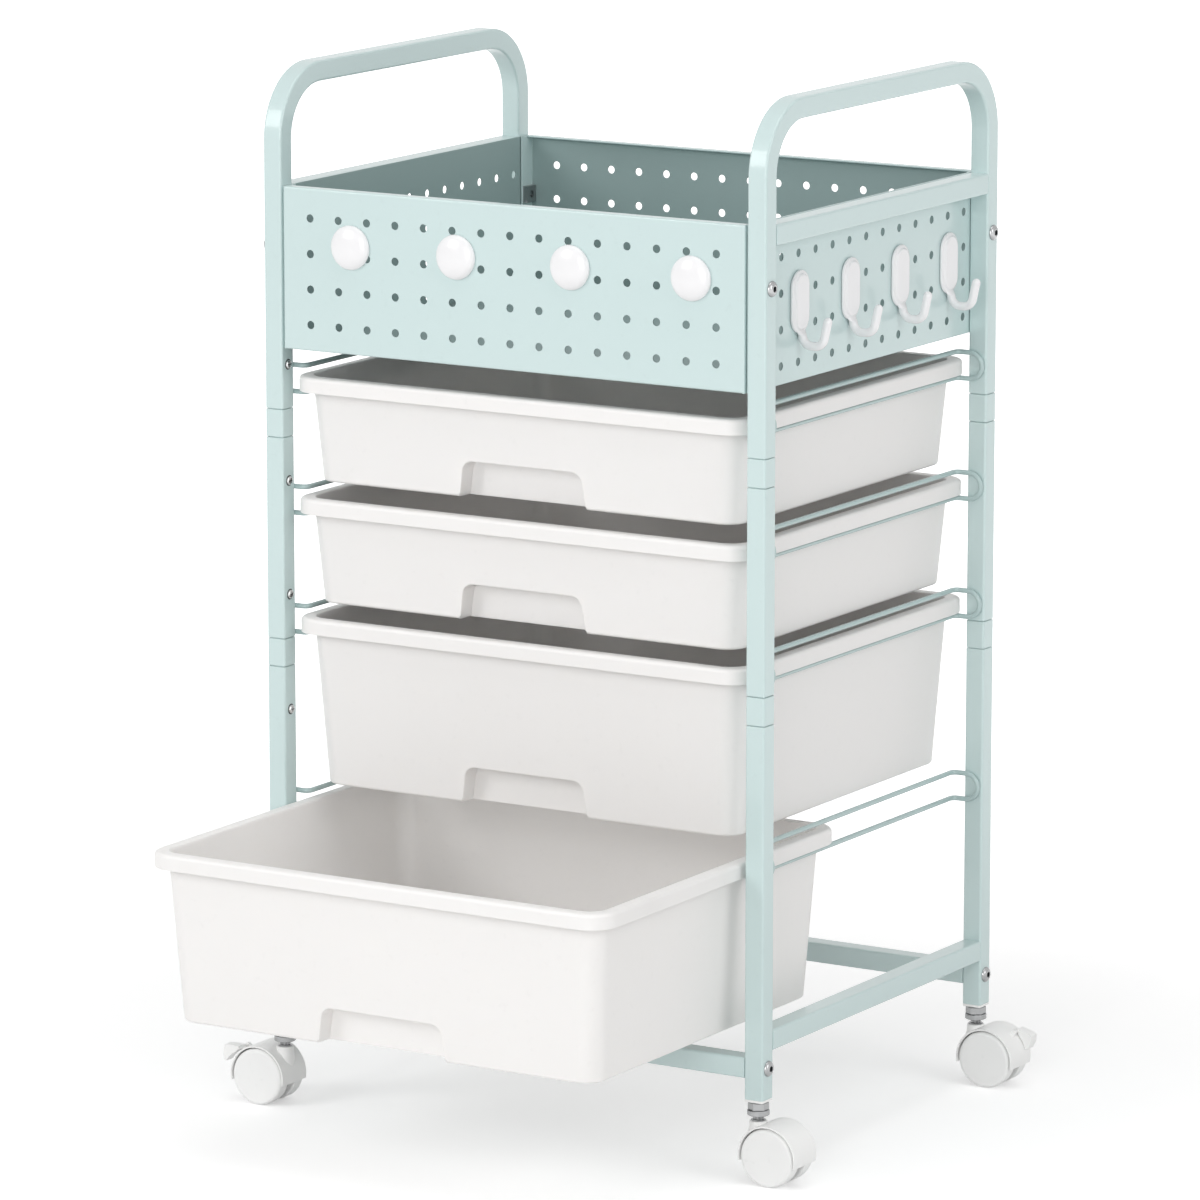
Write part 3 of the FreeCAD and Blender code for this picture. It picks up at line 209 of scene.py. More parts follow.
def piece(shell, name, body, material, nodes, smooth=34, merge=False, others=()):
    """A Blender object from a shell, on its body and in place of its CAD nodes.

    Others are (material, faces) for faces that don't take the first material."""
    mesh = bpy.data.meshes.new(name)
    mesh.from_pydata([p * MM for p in shell.points], [], shell.faces)
    mesh.materials.append(material)
    for number, (other, faces) in enumerate(others, start=1):
        mesh.materials.append(other)
        for i in faces:
            mesh.polygons[i].material_index = number
    work = bmesh.new()
    work.from_mesh(mesh)
    if merge:
        bmesh.ops.remove_doubles(work, verts=work.verts, dist=2e-6)
    bmesh.ops.recalc_face_normals(work, faces=work.faces)
    work.to_mesh(mesh)
    work.free()
    mesh.shade_smooth()
    mesh.set_sharp_from_angle(angle=math.radians(smooth))
    item = bpy.data.objects.new(name, mesh)
    bpy.context.scene.collection.objects.link(item)
    even = item.modifiers.new("even_shading", "WEIGHTED_NORMAL")
    even.keep_sharp = True
    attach(item, body)
    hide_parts(*nodes)
    return item


def polar(radius, degrees):
    turn = math.radians(degrees)
    return radius * math.cos(turn), radius * math.sin(turn)


def circle(radius, count):
    return [polar(radius, 360 * k / count) for k in range(count)]


def hexagon(radius, count):
    """Points on a hexagon at the angles of a circle of so many points."""
    points = []
    for k in range(count):
        turn = 2 * math.pi * k / count
        off = (turn + math.pi / 6) % (math.pi / 3) - math.pi / 6
        reach = radius * math.cos(math.pi / 6) / math.cos(off)
        points.append((reach * math.cos(turn), reach * math.sin(turn)))
    return points


def arc(centre, radius, first, last, steps):
    """Points (a, b) on an arc, its angles in degrees."""
    points = []
    for k in range(steps + 1):
        a, b = polar(radius, first + (last - first) * k / steps)
        points.append((centre[0] + a, centre[1] + b))
    return points


def quarter_round(radius, steps=4):
    """Steps down a quarter round, each (how far in, how far down)."""
    turns = [math.pi / 2 * k / steps for k in range(1, steps + 1)]
    return [(radius * (1 - math.cos(turn)), radius * math.sin(turn)) for turn in turns]


def rounded_rectangle(half_a, half_b, radius, steps=4):
    """Points round a rectangle with rounded corners, anticlockwise."""
    points = []
    for k, (a, b) in enumerate(((1, 1), (-1, 1), (-1, -1), (1, -1))):
        for i in range(steps + 1):
            turn = math.pi / 2 * (k + i / steps)
            points.append((a * (half_a - radius) + radius * math.cos(turn),
                           b * (half_b - radius) + radius * math.sin(turn)))
    return points


def on_plane(centre, u, v, points):
    return [centre + u * a + v * b for a, b in points]


TUBE_CORNER = 1.9
TUBE_EDGE = 0.35


def tube_stations(shell, stations):
    """A rounded square tube through stations, each (centre, side, side, how much smaller)."""
    rings = []
    for centre, u, v, less in stations:
        half = HALF_TUBE - less
        rings.append(on_plane(centre, u, v, rounded_rectangle(half, half, TUBE_CORNER - less)))
    shell.skin(rings)


def straight_tube(shell, start, end, u):
    """A tube between two points, its ends slightly rounded."""
    start, end = Vector(start), Vector(end)
    along = (end - start).normalized()
    v = along.cross(u)
    tube_stations(shell, [
        (start, u, v, TUBE_EDGE), (start + along * TUBE_EDGE, u, v, 0),
        (end - along * TUBE_EDGE, u, v, 0), (end, u, v, TUBE_EDGE)])


def revolved(profile, centre, axis, side, steps=48):
    """A turned shell: profile of (radius, height) about an axis through the centre."""
    shell = Shell()
    other = axis.cross(side)
    shell.skin([on_plane(centre + axis * height, side, other, circle(radius, steps))
                for radius, height in profile])
    return shell


# Frame tubes

# Half of the dark line that shows between two stacked tubes
SEAM = 0.3
HANDLE_TOP = 800.5
HANDLE_BEND = 48.0
BEND_STEPS = 18


def handle(side, name):
    """One bent tube: the upper ends of two posts and the grip between them."""
    foot = UPPER_JOINT + COLLAR + SEAM
    path = [(-POST_Y, foot, 0, 1, TUBE_EDGE), (-POST_Y, foot + 0.4, 0, 1, 0)]
    bend = (-POST_Y + HANDLE_BEND, HANDLE_TOP - HANDLE_BEND)
    for k in range(BEND_STEPS + 1):
        turn = math.radians(180 - 90 * k / BEND_STEPS)
        path.append((bend[0] + HANDLE_BEND * math.cos(turn), bend[1] + HANDLE_BEND * math.sin(turn),
                     math.sin(turn), -math.cos(turn), 0))
    path += [(-y, z, dy, -dz, less) for y, z, dy, dz, less in reversed(path)]
    centre = Vector((side * POST_X, MID_Y, 0))
    shell = Shell()
    tube_stations(shell, [(centre + Y * y + Z * z, X, Vector((0, dz, -dy)), less)
                          for y, z, dy, dz, less in path])
    piece(shell, name + "_piece", "frame", MINT, [name])


handle(1, "handle_tube_right")
handle(-1, "handle_tube_left")


def frame_tube(name, start, end, side):
    """A straight tube between two points whose Y is measured from the frame's middle."""
    shell = Shell()
    straight_tube(shell, Vector(start) + Y * MID_Y, Vector(end) + Y * MID_Y, side)
    piece(shell, name + "_piece", "frame", MINT, [name])


for corner, (side, end) in CORNERS.items():
    x, y = side * POST_X, end * POST_Y
    frame_tube("lower_post_" + corner, (x, y, POST_FOOT), (x, y, LOWER_JOINT - SEAM), X)
    frame_tube("middle_post_" + corner, (x, y, LOWER_JOINT + COLLAR + SEAM),
               (x, y, UPPER_JOINT - SEAM), X)

for level, z in (("upper", UPPER_RAIL_Z), ("lower", LOWER_RAIL_Z)):
    for word, side in (("right", 1), ("left", -1)):
        x = side * POST_X
        frame_tube("%s_side_rail_%s" % (level, word), (x, -INNER_Y, z), (x, INNER_Y, z), Z)
for word, end in (("front", -1), ("rear", 1)):
    y = end * POST_Y
    frame_tube("lower_%s_rail" % word, (-INNER_X, y, CROSS_RAIL_Z), (INNER_X, y, CROSS_RAIL_Z), Z)

# The collars between the posts, with their spigots inside the tubes
SPIGOT = rounded_rectangle(6.4, 6.4, 0.8, 2)
SPIGOT_FOOT, SPIGOT_TOP = -20.0, 42.0
shell = Shell()
for side, end in CORNERS.values():
    for joint in (LOWER_JOINT, UPPER_JOINT):
        x, y = side * POST_X, MID_Y + end * POST_Y
        straight_tube(shell, (x, y, joint + SEAM), (x, y, joint + COLLAR - SEAM), X)
        spigot = Shell()
        spigot.skin([on_plane(Vector((x, y, joint + z)), X, Y, SPIGOT)
                     for z in (SPIGOT_FOOT, SPIGOT_TOP)])
        shell.take(spigot)
piece(shell, "tube_connectors_piece", "frame", MINT, ["tube_connectors"])


# Screws, bolts and nuts

BOLT_HEAD = ((5.9, 0.0), (6.0, 0.25), (5.95, 0.7), (5.6, 1.5), (4.9, 2.2),
             (3.9, 2.7), (3.1, 2.95), (2.75, 3.0))
SOCKET_MOUTH, SOCKET_FLOOR = (2.45, 2.85), (2.35, 1.3)
SCREW_HEAD = ((3.3, 0), (3.5, 0.2), (3.45, 0.8), (3.0, 1.35), (2.2, 1.62), (1.2, 1.7), (0.3, 1.7))
# A thin ring round each screw head that carries a painted contact shadow.
SCREW_SHADE = ((3.6, -0.1), (4.1, 0.0), (4.1, 0.15), (3.3, 0.2))
SLOT_SECTION = ((1.9, 0.3), (-1.9, 0.3), (-1.9, -0.3), (1.9, -0.3))
SCREW_REACH = 34.0


def button_bolt(centre, out, count=36):
    """A rounded head with a hexagon socket. Returns the shell and the socket's faces."""
    shell = Shell()
    rings = [on_plane(centre + out * h, Y, Z, circle(r, count)) for r, h in BOLT_HEAD]
    mouth, floor = [on_plane(centre + out * h, Y, Z, hexagon(r, count))
                    for r, h in (SOCKET_MOUTH, SOCKET_FLOOR)]
    made = shell.skin(rings + [mouth], ends=False)
    first = len(shell.faces)
    low = shell.ring(floor)
    shell.bridge(made[-1], low)
    shell.cap(low)
    socket = list(range(first, len(shell.faces)))
    shell.cap(made[0])
    return shell, socket


shell = Shell()
dark = []
for side, end in CORNERS.values():
    for z in (CROSS_RAIL_Z, UPPER_BOLT_Z):
        centre = Vector((side * (POST_X + HALF_TUBE), MID_Y + end * POST_Y, z))
        bolt, socket = button_bolt(centre, X * side)
        faces = shell.take(bolt)
        dark += [faces[i] for i in socket]
# The bolts' sockets take painted shade.
piece(shell, "frame_bolts_piece", "frame", ZINC, ["frame_bolts"], others=[(PAINTED_SHADE, dark)])

shell = Shell()
dark = []
for side, end in CORNERS.values():
    for joint in (LOWER_JOINT, UPPER_JOINT):
        for z in (joint - SCREW_REACH, joint + COLLAR + SCREW_REACH):
            centre = Vector((side * INNER_X, MID_Y + end * POST_Y, z))
            out = -X * side
            shell.take(revolved(SCREW_HEAD, centre, out, Y, 32))
            # The ring round each head carries a painted shadow; the slots take painted shade.
            dark += shell.take(revolved(SCREW_SHADE, centre, out, Y, 32))
            for u in (Z, Y):
                slot = Shell()
                slot.skin([on_plane(centre + out * h, u, out.cross(u), SLOT_SECTION)
                           for h in (1.0, 1.72)])
                dark += shell.take(slot)
piece(shell, "connector_screws_piece", "frame", CHROME, ["connector_screws"],
      others=[(PAINTED_SHADE, dark)])


# Wire runners

RIM_TOPS = (573.5, 479.5, 386.7, 242.0)
WIRE_DIAMETER = 4.0
WIRE_BEND = 5.0
# Centres of the wire's bends, from the post's axis and from the frame's middle
BEND_X, BEND_Y = -12.0, 154.5
LOOP_X = -5.2
HALF_LOOP = 10.2
LOWER_WIRE_DROP = 14.3


def wire_piece(node, points):
    """A round wire along a closed line of points, as a mesh."""
    name = node + "_piece"
    curve = bpy.data.curves.new(name, "CURVE")
    curve.dimensions = "3D"
    curve.bevel_depth = WIRE_DIAMETER / 2 * MM
    curve.bevel_resolution = 5
    line = curve.splines.new("POLY")
    line.points.add(len(points) - 1)
    for spot, p in zip(line.points, points):
        spot.co = (*(p * MM), 1)
    line.use_cyclic_u = True
    holder = bpy.data.objects.new(name, curve)
    bpy.context.scene.collection.objects.link(holder)
    bpy.context.view_layer.update()
    whole = holder.evaluated_get(bpy.context.evaluated_depsgraph_get())
    mesh = bpy.data.meshes.new_from_object(whole)
    bpy.data.objects.remove(holder)
    mesh.shade_smooth()
    mesh.materials.clear()
    mesh.materials.append(SHADED_WIRE)
    item = bpy.data.objects.new(name, mesh)
    bpy.context.scene.collection.objects.link(item)
    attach(item, "frame")
    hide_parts(node)


# Each end: a bend out of the post's line, a half loop and a bend back
path = []
for end in (1, -1):
    for a, b in arc((BEND_X, BEND_Y), WIRE_BEND, 180, 90, 6):
        path.append((a, end * b, end * HALF_LOOP))
    for a, b in arc((LOOP_X, 0.0), HALF_LOOP, 90, -90, 16):
        path.append((a, end * (BEND_Y + WIRE_BEND), end * b))
    for a, b in arc((BEND_X, BEND_Y), WIRE_BEND, 90, 180, 6):
        path.append((a, end * b, -end * HALF_LOOP))
for level, rim_top in enumerate(RIM_TOPS, start=1):
    middle = rim_top - LOWER_WIRE_DROP + HALF_LOOP
    for side, word in ((1, "right"), (-1, "left")):
        wire_piece("runner_%d_%s" % (level, word),
                   [Vector((side * (POST_X + a), MID_Y + b, middle + c)) for a, b, c in path])


# Basket

PANEL_FOOT = 594.7
PANEL_TOP = 718.9
SHEET = 1.2
FOLD_BEND = 1.5
HALF_FRONT = 202.0
HALF_SIDE = 174.5
FRONT_FACE_Y = 177.5
SIDE_FACE_X = 203.8
PITCH = (25.4, 27.1)
HOLE_RADIUS = 3.1
HOLE_LIP = 0.3
# The first hole's place and how many holes there are across and up
FRONT_HOLES = ((-177.8, 614.6), (15, 4))
SIDE_HOLES = ((-152.4, 608.1), (13, 4))


def outline_of(low, high, steps):
    """Points along a rectangle's bottom, right, top and left sides.

    The bottom and top run towards +a, the right and left towards +b."""
    across = [low[0] + (high[0] - low[0]) * k / steps[0] for k in range(steps[0] + 1)]
    up = [low[1] + (high[1] - low[1]) * k / steps[1] for k in range(steps[1] + 1)]
    return ([(a, low[1]) for a in across], [(high[0], b) for b in up],
            [(a, high[1]) for a in across], [(low[0], b) for b in up])


def perforated(shell, place, low, high, first, counts, steps=6):
    """A sheet with rounded holes. place turns (across, up, depth) into a point.

    Returns the faces on the basket's inside and in the holes, with the darker materials that paint
    shade on them."""
    half_a, half_b = PITCH[0] / 2, PITCH[1] / 2
    bottom, right, top, left = outline_of((-half_a, -half_b), (half_a, half_b), (steps, steps))
    border = bottom[:-1] + right[:-1] + top[:0:-1] + left[:0:-1]
    turns = [math.atan2(b, a) for a, b in border]
    walls, inwards = [], []

    def hole(a0, b0, radius, depth):
        return shell.ring([place(a0 + radius * math.cos(t), b0 + radius * math.sin(t), depth)
                           for t in turns])

    for column in range(counts[0]):
        for row in range(counts[1]):
            a0 = first[0] + PITCH[0] * column
            b0 = first[1] + PITCH[1] * row
            bores = []
            for depth, edge in ((0, HOLE_LIP), (SHEET, SHEET - HOLE_LIP)):
                outer = shell.ring([place(a0 + a, b0 + b, depth) for a, b in border])
                rim = hole(a0, b0, HOLE_RADIUS + HOLE_LIP, depth)
                bores.append(hole(a0, b0, HOLE_RADIUS, edge))
                start = len(shell.faces)
                shell.bridge(outer, rim)
                shell.bridge(rim, bores[-1])
                if depth:
                    inwards += range(start, len(shell.faces))
            start = len(shell.faces)
            shell.bridge(*bores)
            walls += range(start, len(shell.faces))

    # The plain margin round the block of holes
    block_low = (first[0] - half_a, first[1] - half_b)
    block_high = (first[0] + PITCH[0] * (counts[0] - 0.5), first[1] + PITCH[1] * (counts[1] - 0.5))
    bottom, right, top, left = outline_of(block_low, block_high,
                                          (counts[0] * steps, counts[1] * steps))
    corners = [(low[0], low[1]), (high[0], low[1]), (high[0], high[1]), (low[0], high[1])]
    sides = (((0, 1), bottom[::-1]), ((1, 2), right[::-1]), ((2, 3), top), ((3, 0), left))
    for depth in (0, SHEET):
        start = len(shell.faces)
        for ends, inner_side in sides:
            points = [corners[i] for i in ends] + inner_side
            shell.cap(shell.ring([place(a, b, depth) for a, b in points]))
        if depth:
            inwards += range(start, len(shell.faces))
    near = shell.ring([place(*c, 0) for c in corners])
    far = shell.ring([place(*c, SHEET) for c in corners])
    shell.bridge(near, far)
    # The inside faces and the hole walls take darker materials: painted shade.
    return [(SHADED_INSIDE, inwards), (SHADED_BORE, walls)]


def fold_profile(reach):
    """A sheet's rounded right-angle fold: (into the fold, away from the face)."""
    bend = (FOLD_BEND, FOLD_BEND)
    outer = arc(bend, FOLD_BEND, 180, 270, 6)
    inner = arc(bend, FOLD_BEND - SHEET, 270, 180, 4)
    edge = 0.3
    return outer + [(reach - edge, 0), (reach, edge), (reach, SHEET - edge),
                    (reach - edge, SHEET)] + inner


def strip(shell, profile, place, start, end):
    """A closed profile drawn out straight between two stations."""
    shell.skin([[place(t, a, b) for a, b in profile] for t in (start, end)])


HEM = fold_profile(8.0)
FLANGE = fold_profile(16.0)
for end, name in ((-1, "basket_front_panel"), (1, "basket_rear_panel")):
    face = MID_Y + end * FRONT_FACE_Y
    reach = HALF_FRONT - FOLD_BEND
    plate = Shell()
    coats = perforated(plate, lambda a, b, c: Vector((a, face - end * c, b)),
                       (-reach, PANEL_FOOT + FOLD_BEND), (reach, PANEL_TOP - FOLD_BEND),
                       *FRONT_HOLES)
    piece(plate, name + "_piece", "frame", MINT, [name], smooth=50, merge=True, others=coats)
    folds = Shell()
    strip(folds, HEM, lambda t, a, b: Vector((t, face - end * a, PANEL_FOOT + b)), -reach, reach)
    strip(folds, HEM, lambda t, a, b: Vector((t, face - end * a, PANEL_TOP - b)), -reach, reach)
    strip(folds, FLANGE, lambda t, a, b: Vector((HALF_FRONT - b, face - end * a, t)),
          PANEL_FOOT, PANEL_TOP)
    strip(folds, FLANGE, lambda t, a, b: Vector((b - HALF_FRONT, face - end * a, t)),
          PANEL_FOOT, PANEL_TOP)
    piece(folds, name + "_folds", "frame", MINT, [name])

for side, name in ((1, "basket_right_panel"), (-1, "basket_left_panel")):
    plate = Shell()
    coats = perforated(plate, lambda a, b, c: Vector((side * (SIDE_FACE_X - c), MID_Y + a, b)),
                       (-HALF_SIDE, PANEL_FOOT), (HALF_SIDE, PANEL_TOP), *SIDE_HOLES)
    piece(plate, name + "_piece", "frame", MINT, [name], smooth=50, merge=True, others=coats)


# Drawers

# Each drawer: body, height, draft of the walls, how far it stands out
DRAWERS = (("top_tray", 82.0, 6.0, 0.0), ("second_tray", 82.0, 6.0, 0.0),
           ("third_tray", 131.2, 8.0, 0.0), ("bottom_tray", 131.2, 8.0, 199.5))
WALL_X, WALL_Y, WALL_CORNER = 191.3, 166.3, 16.0
WALL_THICK = 2.0
RIM_X, RIM_Y, RIM_CORNER = 200.0, 175.0, 21.0
FOOT_ROUND = 2.4
FLOOR_ROUND = 5.0
INNER_CORNER = 14.0
# The rolled rim from the wall outwards and over: (in from the rim's edge, height)
RIM_ROLL = ((3.0, -2.0), (2.0, -2.3), (1.6, -3.2), (1.6, -11.7), (1.2, -12.0), (0.4, -12.0),
            (0.0, -11.6), (0.0, -3.0), (0.23, -1.85), (0.88, -0.88), (1.85, -0.23), (3.0, 0.0))
# The finger recess in the front wall
RECESS_HALF = 55.5
RECESS_HALF_TOP = 51.5
RECESS_HIGH = 28.0
RECESS_CORNER = 9.0
RECESS_DEEP = 14.5
# Round the recess: (wider than its edge, deeper than the wall)
RECESS_EDGE = ((1.3, 0.0), (0.5, 0.12), (0.12, 0.5), (0.0, 1.3))
PATCH_HIGH = 36.0
PATCH_STEPS = 4
COLUMNS = (-70, -57.8, -57.4, -45, -34, -22, -11, 0, 11, 22, 34, 45, 57.4, 57.8, 70)
RIB_SECTION = ((190.6, -1), (198.6, -1), (198.6, 1), (190.6, 1))
RIB_PITCH = 105


def drawer_ring(half_x, half_y, radius, z):
    """Points round the drawer at one height, ending with the front side's columns."""
    points = []
    for k, (a, b) in enumerate(((1, -1), (1, 1), (-1, 1), (-1, -1))):
        for i in range(9):
            turn = math.pi / 2 * (k - 1 + i / 8)
            points.append((a * (half_x - radius) + radius * math.cos(turn),
                           b * (half_y - radius) + radius * math.sin(turn), z))
    return points + [(x, -half_y, z) for x in COLUMNS]


RING_COUNT = len(drawer_ring(1, 1, 0, 0))
FIRST_COLUMN = RING_COUNT - len(COLUMNS)
LAST_COLUMN = RING_COUNT - 1


def recess_line(margin):
    """Points (x, up) round the finger recess from its lower left to its lower right."""
    radius = RECESS_CORNER + margin
    top = RECESS_HIGH + margin
    low = FOOT_ROUND
    lean = (RECESS_HALF - RECESS_HALF_TOP) / RECESS_HIGH
    foot = -(RECESS_HALF + margin) + lean * low
    head = -(RECESS_HALF + margin) + lean * (top - radius)
    points = [(foot + (head - foot) * k / 3, low + (top - radius - low) * k / 3) for k in range(3)]
    tilt = math.degrees(math.atan(lean))
    centre = (head + radius / math.cos(math.radians(tilt)), top - radius)
    points += arc(centre, radius, 180 - tilt, 90, 5)
    start = points[-1]
    points += [(start[0] * (1 - k / 3), top) for k in range(1, 4)]
    return points + [(-x, z) for x, z in reversed(points[:-1])]


def bridge_round_patch(shell, rings):
    """Bridges rings all round the drawer but for the patch with the recess."""
    for upper, lower in zip(rings, rings[1:]):
        for i in range(RING_COUNT):
            if not FIRST_COLUMN <= i < LAST_COLUMN:
                j = (i + 1) % RING_COUNT
                shell.faces.append((upper[i], upper[j], lower[j], lower[i]))


def drawer(level, top, body, height, draft, pull):
    """A drafted tray with a rolled rim and a finger recess that steps into its inside."""
    shell = Shell()
    base = -height
    patch_top = base + PATCH_HIGH

    def wall(z, inset=0.0):
        lean = draft * z / height
        return drawer_ring(WALL_X + lean - inset, WALL_Y + lean - inset, WALL_CORNER - inset, z)

    def rim(inset, z, radius=None):
        return drawer_ring(RIM_X - inset, RIM_Y - inset, radius or RIM_CORNER - inset, z)

    # Outside: the wall beside the patch, its rounded foot, then up and over the rim
    levels = [patch_top + (base + FOOT_ROUND - patch_top) * k / PATCH_STEPS
              for k in range(PATCH_STEPS + 1)]
    outer = [shell.ring(wall(z)) for z in levels]
    rounding = [shell.ring(wall(base + FOOT_ROUND - down, inset))
                for inset, down in quarter_round(FOOT_ROUND)]
    above = [wall(-3.4), wall(-2.4, -0.3), rim(8.0, -2.0, 16.7)]
    above += [rim(inset, z) for inset, z in RIM_ROLL]
    above += [rim(9.3, 0.0, 14.8), rim(10.2, -0.3, 14.2), rim(10.6, -0.9, 14.0)]
    above = [shell.ring(points) for points in above]
    chain = [outer[0]] + above
    for lower, upper in zip(chain, chain[1:]):
        shell.bridge(lower, upper)

    # The inside, which steps back behind the recess
    back = -(WALL_Y - draft - RECESS_DEEP)

    def inner(z, inset, radius, recessed):
        lean = draft * z / height
        ring = drawer_ring(WALL_X + lean - inset, WALL_Y + lean - inset, radius, z)
        if recessed:
            for i in range(FIRST_COLUMN + 2, len(ring) - 2):
                ring[i] = (ring[i][0], back + inset, z)
        return shell.ring(ring)

    inside_floor = base + WALL_THICK + FLOOR_ROUND
    inside = [inner(-3.0, WALL_THICK, INNER_CORNER, False),
              inner(base + 31.0, WALL_THICK, INNER_CORNER, False),
              inner(base + 30.4, WALL_THICK, INNER_CORNER, True),
              inner(inside_floor, WALL_THICK, INNER_CORNER, True)]
    for step, down in quarter_round(FLOOR_ROUND):
        inside.append(inner(inside_floor - down, WALL_THICK + step,
                            INNER_CORNER - 0.8 * step, True))
    chain = [above[-1]] + inside
    for lower, upper in zip(chain, chain[1:]):
        shell.bridge(lower, upper)
    shell.cap(inside[-1])
    bridge_round_patch(shell, outer)

    # The patch: from its border over the recess's rounded edge to its back
    def on_wall(x, up, depth):
        lean = draft * (base + up) / height
        return Vector((x, -(WALL_Y + lean) + depth, base + up))

    border = [ring[FIRST_COLUMN] for ring in reversed(outer)]
    border += outer[0][FIRST_COLUMN + 1:LAST_COLUMN]
    border += [ring[LAST_COLUMN] for ring in outer]
    layers = [border]
    for margin, depth in RECESS_EDGE:
        layers.append(shell.ring([on_wall(x, up, depth) for x, up in recess_line(margin)]))
    line = recess_line(0.0)
    layers.append(shell.ring([(x, back - 0.6, base + up) for x, up in line]))
    layers.append(shell.ring([(x * 0.993, back, base + up - (0.5 if up > 20 else 0))
                              for x, up in line]))
    for first, second in zip(layers, layers[1:]):
        shell.bridge(first, second, closed=False)
    feet = shell.ring([(-RECESS_HALF, back, base), (RECESS_HALF, back, base)])
    shell.cap(layers[-1] + [feet[1], feet[0]])

    # The foot's rounding up to the recess on both sides
    edges = []
    for end, column, foot_point in ((0, FIRST_COLUMN, feet[0]), (-1, LAST_COLUMN, feet[1])):
        across = shell.points[layers[1][end]].x
        down = [layers[1][end]]
        for inset, drop in quarter_round(FOOT_ROUND):
            z = base + FOOT_ROUND - drop
            down += shell.ring([(across, -(WALL_Y + draft * z / height - inset), z)])
        outside = [outer[-1][column]] + [ring[column] for ring in rounding]
        for k in range(len(rounding)):
            shell.faces.append((outside[k], outside[k + 1], down[k + 1], down[k]))
        shell.cap([layer[end] for layer in layers[1:]] + [foot_point] + down[:0:-1])
        edges.append(down[-1])
    bridge_round_patch(shell, [outer[-1]] + rounding)
    last = rounding[-1]
    shell.cap(last[:FIRST_COLUMN + 1] + [edges[0], feet[0], feet[1], edges[1], last[LAST_COLUMN]])

    # Ribs under the rim
    for side in (-1, 1):
        for k in (-1, 0, 1):
            rib = Shell()
            rib.skin([[(side * a, RIB_PITCH * k + b, z) for a, b in RIB_SECTION]
                      for z in (-12.0, -1.5)])
            shell.take(rib)

    placed = shell.turned(Matrix.Translation((0, MID_Y - pull, top)))
    piece(placed, "drawer_%d_piece" % level, body, TRAY, ["drawer_%d" % level], smooth=38)


for level, (rim_top, sizes) in enumerate(zip(RIM_TOPS, DRAWERS), start=1):
    drawer(level, rim_top, *sizes)


# Hooks and magnets

HOOK_Z = 653.3
HOOK_PLACES = (-7.4, 68.8, 145.0, 221.2)
# The hook's plate: (in from its edge, height over the panel)
HOOK_PLATE = ((0.5, 0.0), (0.0, 0.5), (0.0, 1.5), (0.25, 2.0), (0.9, 2.4),
              (2.1, 2.55), (2.6, 2.75), (2.9, 3.3), (3.4, 3.75), (4.4, 4.0))
HOOK_BAR = 3.3
HOOK_BEND = 8.0
HOOK_BEND_Z = -24.6
HOOK_SHOULDER = 6.4
HOOK_SHOULDER_THICK = 1.2
HOOK_PEG = ((2.6, 0.5), (2.7, -1.0), (2.6, -3.2), (2.2, -3.4))
MAGNET_Z = 676.5
MAGNET_PLACES = (-141.0, -47.0, 53.0, 157.0)
MAGNET_RADIUS = 17.0
AROUND = [2 * math.pi * k / 20 for k in range(20)]


def ellipse(centre, u, v, wide, high):
    return [centre + u * wide * math.cos(t) + v * high * math.sin(t) for t in AROUND]


def side_hook(number, y):
    """A rounded plate, a flat neck that turns into a round bar, and the bar's bend."""
    shell = Shell()
    centre = Vector((INNER_X, y, HOOK_Z))
    shell.skin([on_plane(centre + X * out, Y, Z,
                         rounded_rectangle(12.8 - inset, 23.5 - inset, 12.5 - inset, 10))
                for inset, out in HOOK_PLATE])
    path = [(1.4, -19.0), (1.8, -21.0), (2.6, -23.0), (HOOK_BAR, HOOK_BEND_Z)]
    path += arc((HOOK_BAR + HOOK_BEND, HOOK_BEND_Z), HOOK_BEND, 180, 270, 10)
    path += arc((14.2, HOOK_BEND_Z), HOOK_BEND, 270, 350, 10)
    path += [(23.6, -19.0), (24.9, -13.6)]
    rings = []
    for i, (a, b) in enumerate(path):
        before = Vector(path[max(i - 1, 0)])
        after = Vector(path[min(i + 1, len(path) - 1)])
        along = (after - before).normalized()
        normal = X * along.y - Z * along.x
        t = min(1.0, i / 5.0)
        soft = t * t * (3 - 2 * t)
        wide = HOOK_SHOULDER + (HOOK_BAR - HOOK_SHOULDER) * soft
        thick = HOOK_SHOULDER_THICK + (HOOK_BAR - HOOK_SHOULDER_THICK) * soft
        spot = centre + X * a + Z * b
        rings.append(ellipse(spot, Y, normal, wide, thick))
    # The bar's round end
    tangent = X * along.x + Z * along.y
    for degrees in (25, 50, 72, 86):
        size, ahead = polar(1, degrees)
        rings.append(ellipse(spot + tangent * HOOK_BAR * ahead, Y, normal,
                             wide * size, thick * size))
    shell.skin(rings)
    for z in (-18.1, 9.0):
        shell.take(revolved(HOOK_PEG, centre + Z * z, X, Y, 16))
    name = "side_hook_%d" % number
    piece(shell, name + "_piece", "frame", GLOSS, [name], smooth=50)


for number, y in enumerate(HOOK_PLACES, start=1):
    side_hook(number, y)

dome = [(16.4, 0.0), (16.9, 0.3), (MAGNET_RADIUS, 0.9)]
for k in range(1, 12):
    turn = math.radians(90 * k / 12)
    dome.append((MAGNET_RADIUS * math.cos(turn), 0.9 + 6.1 * math.sin(turn)))
dome.append((0.6, 7.0))
shell = Shell()
for x in MAGNET_PLACES:
    shell.take(revolved(dome, Vector((x, MID_Y - FRONT_FACE_Y, MAGNET_Z)), -Y, X, 48))
piece(shell, "dome_magnets_piece", "frame", GLOSS, ["dome_magnets"], smooth=60)


# Casters

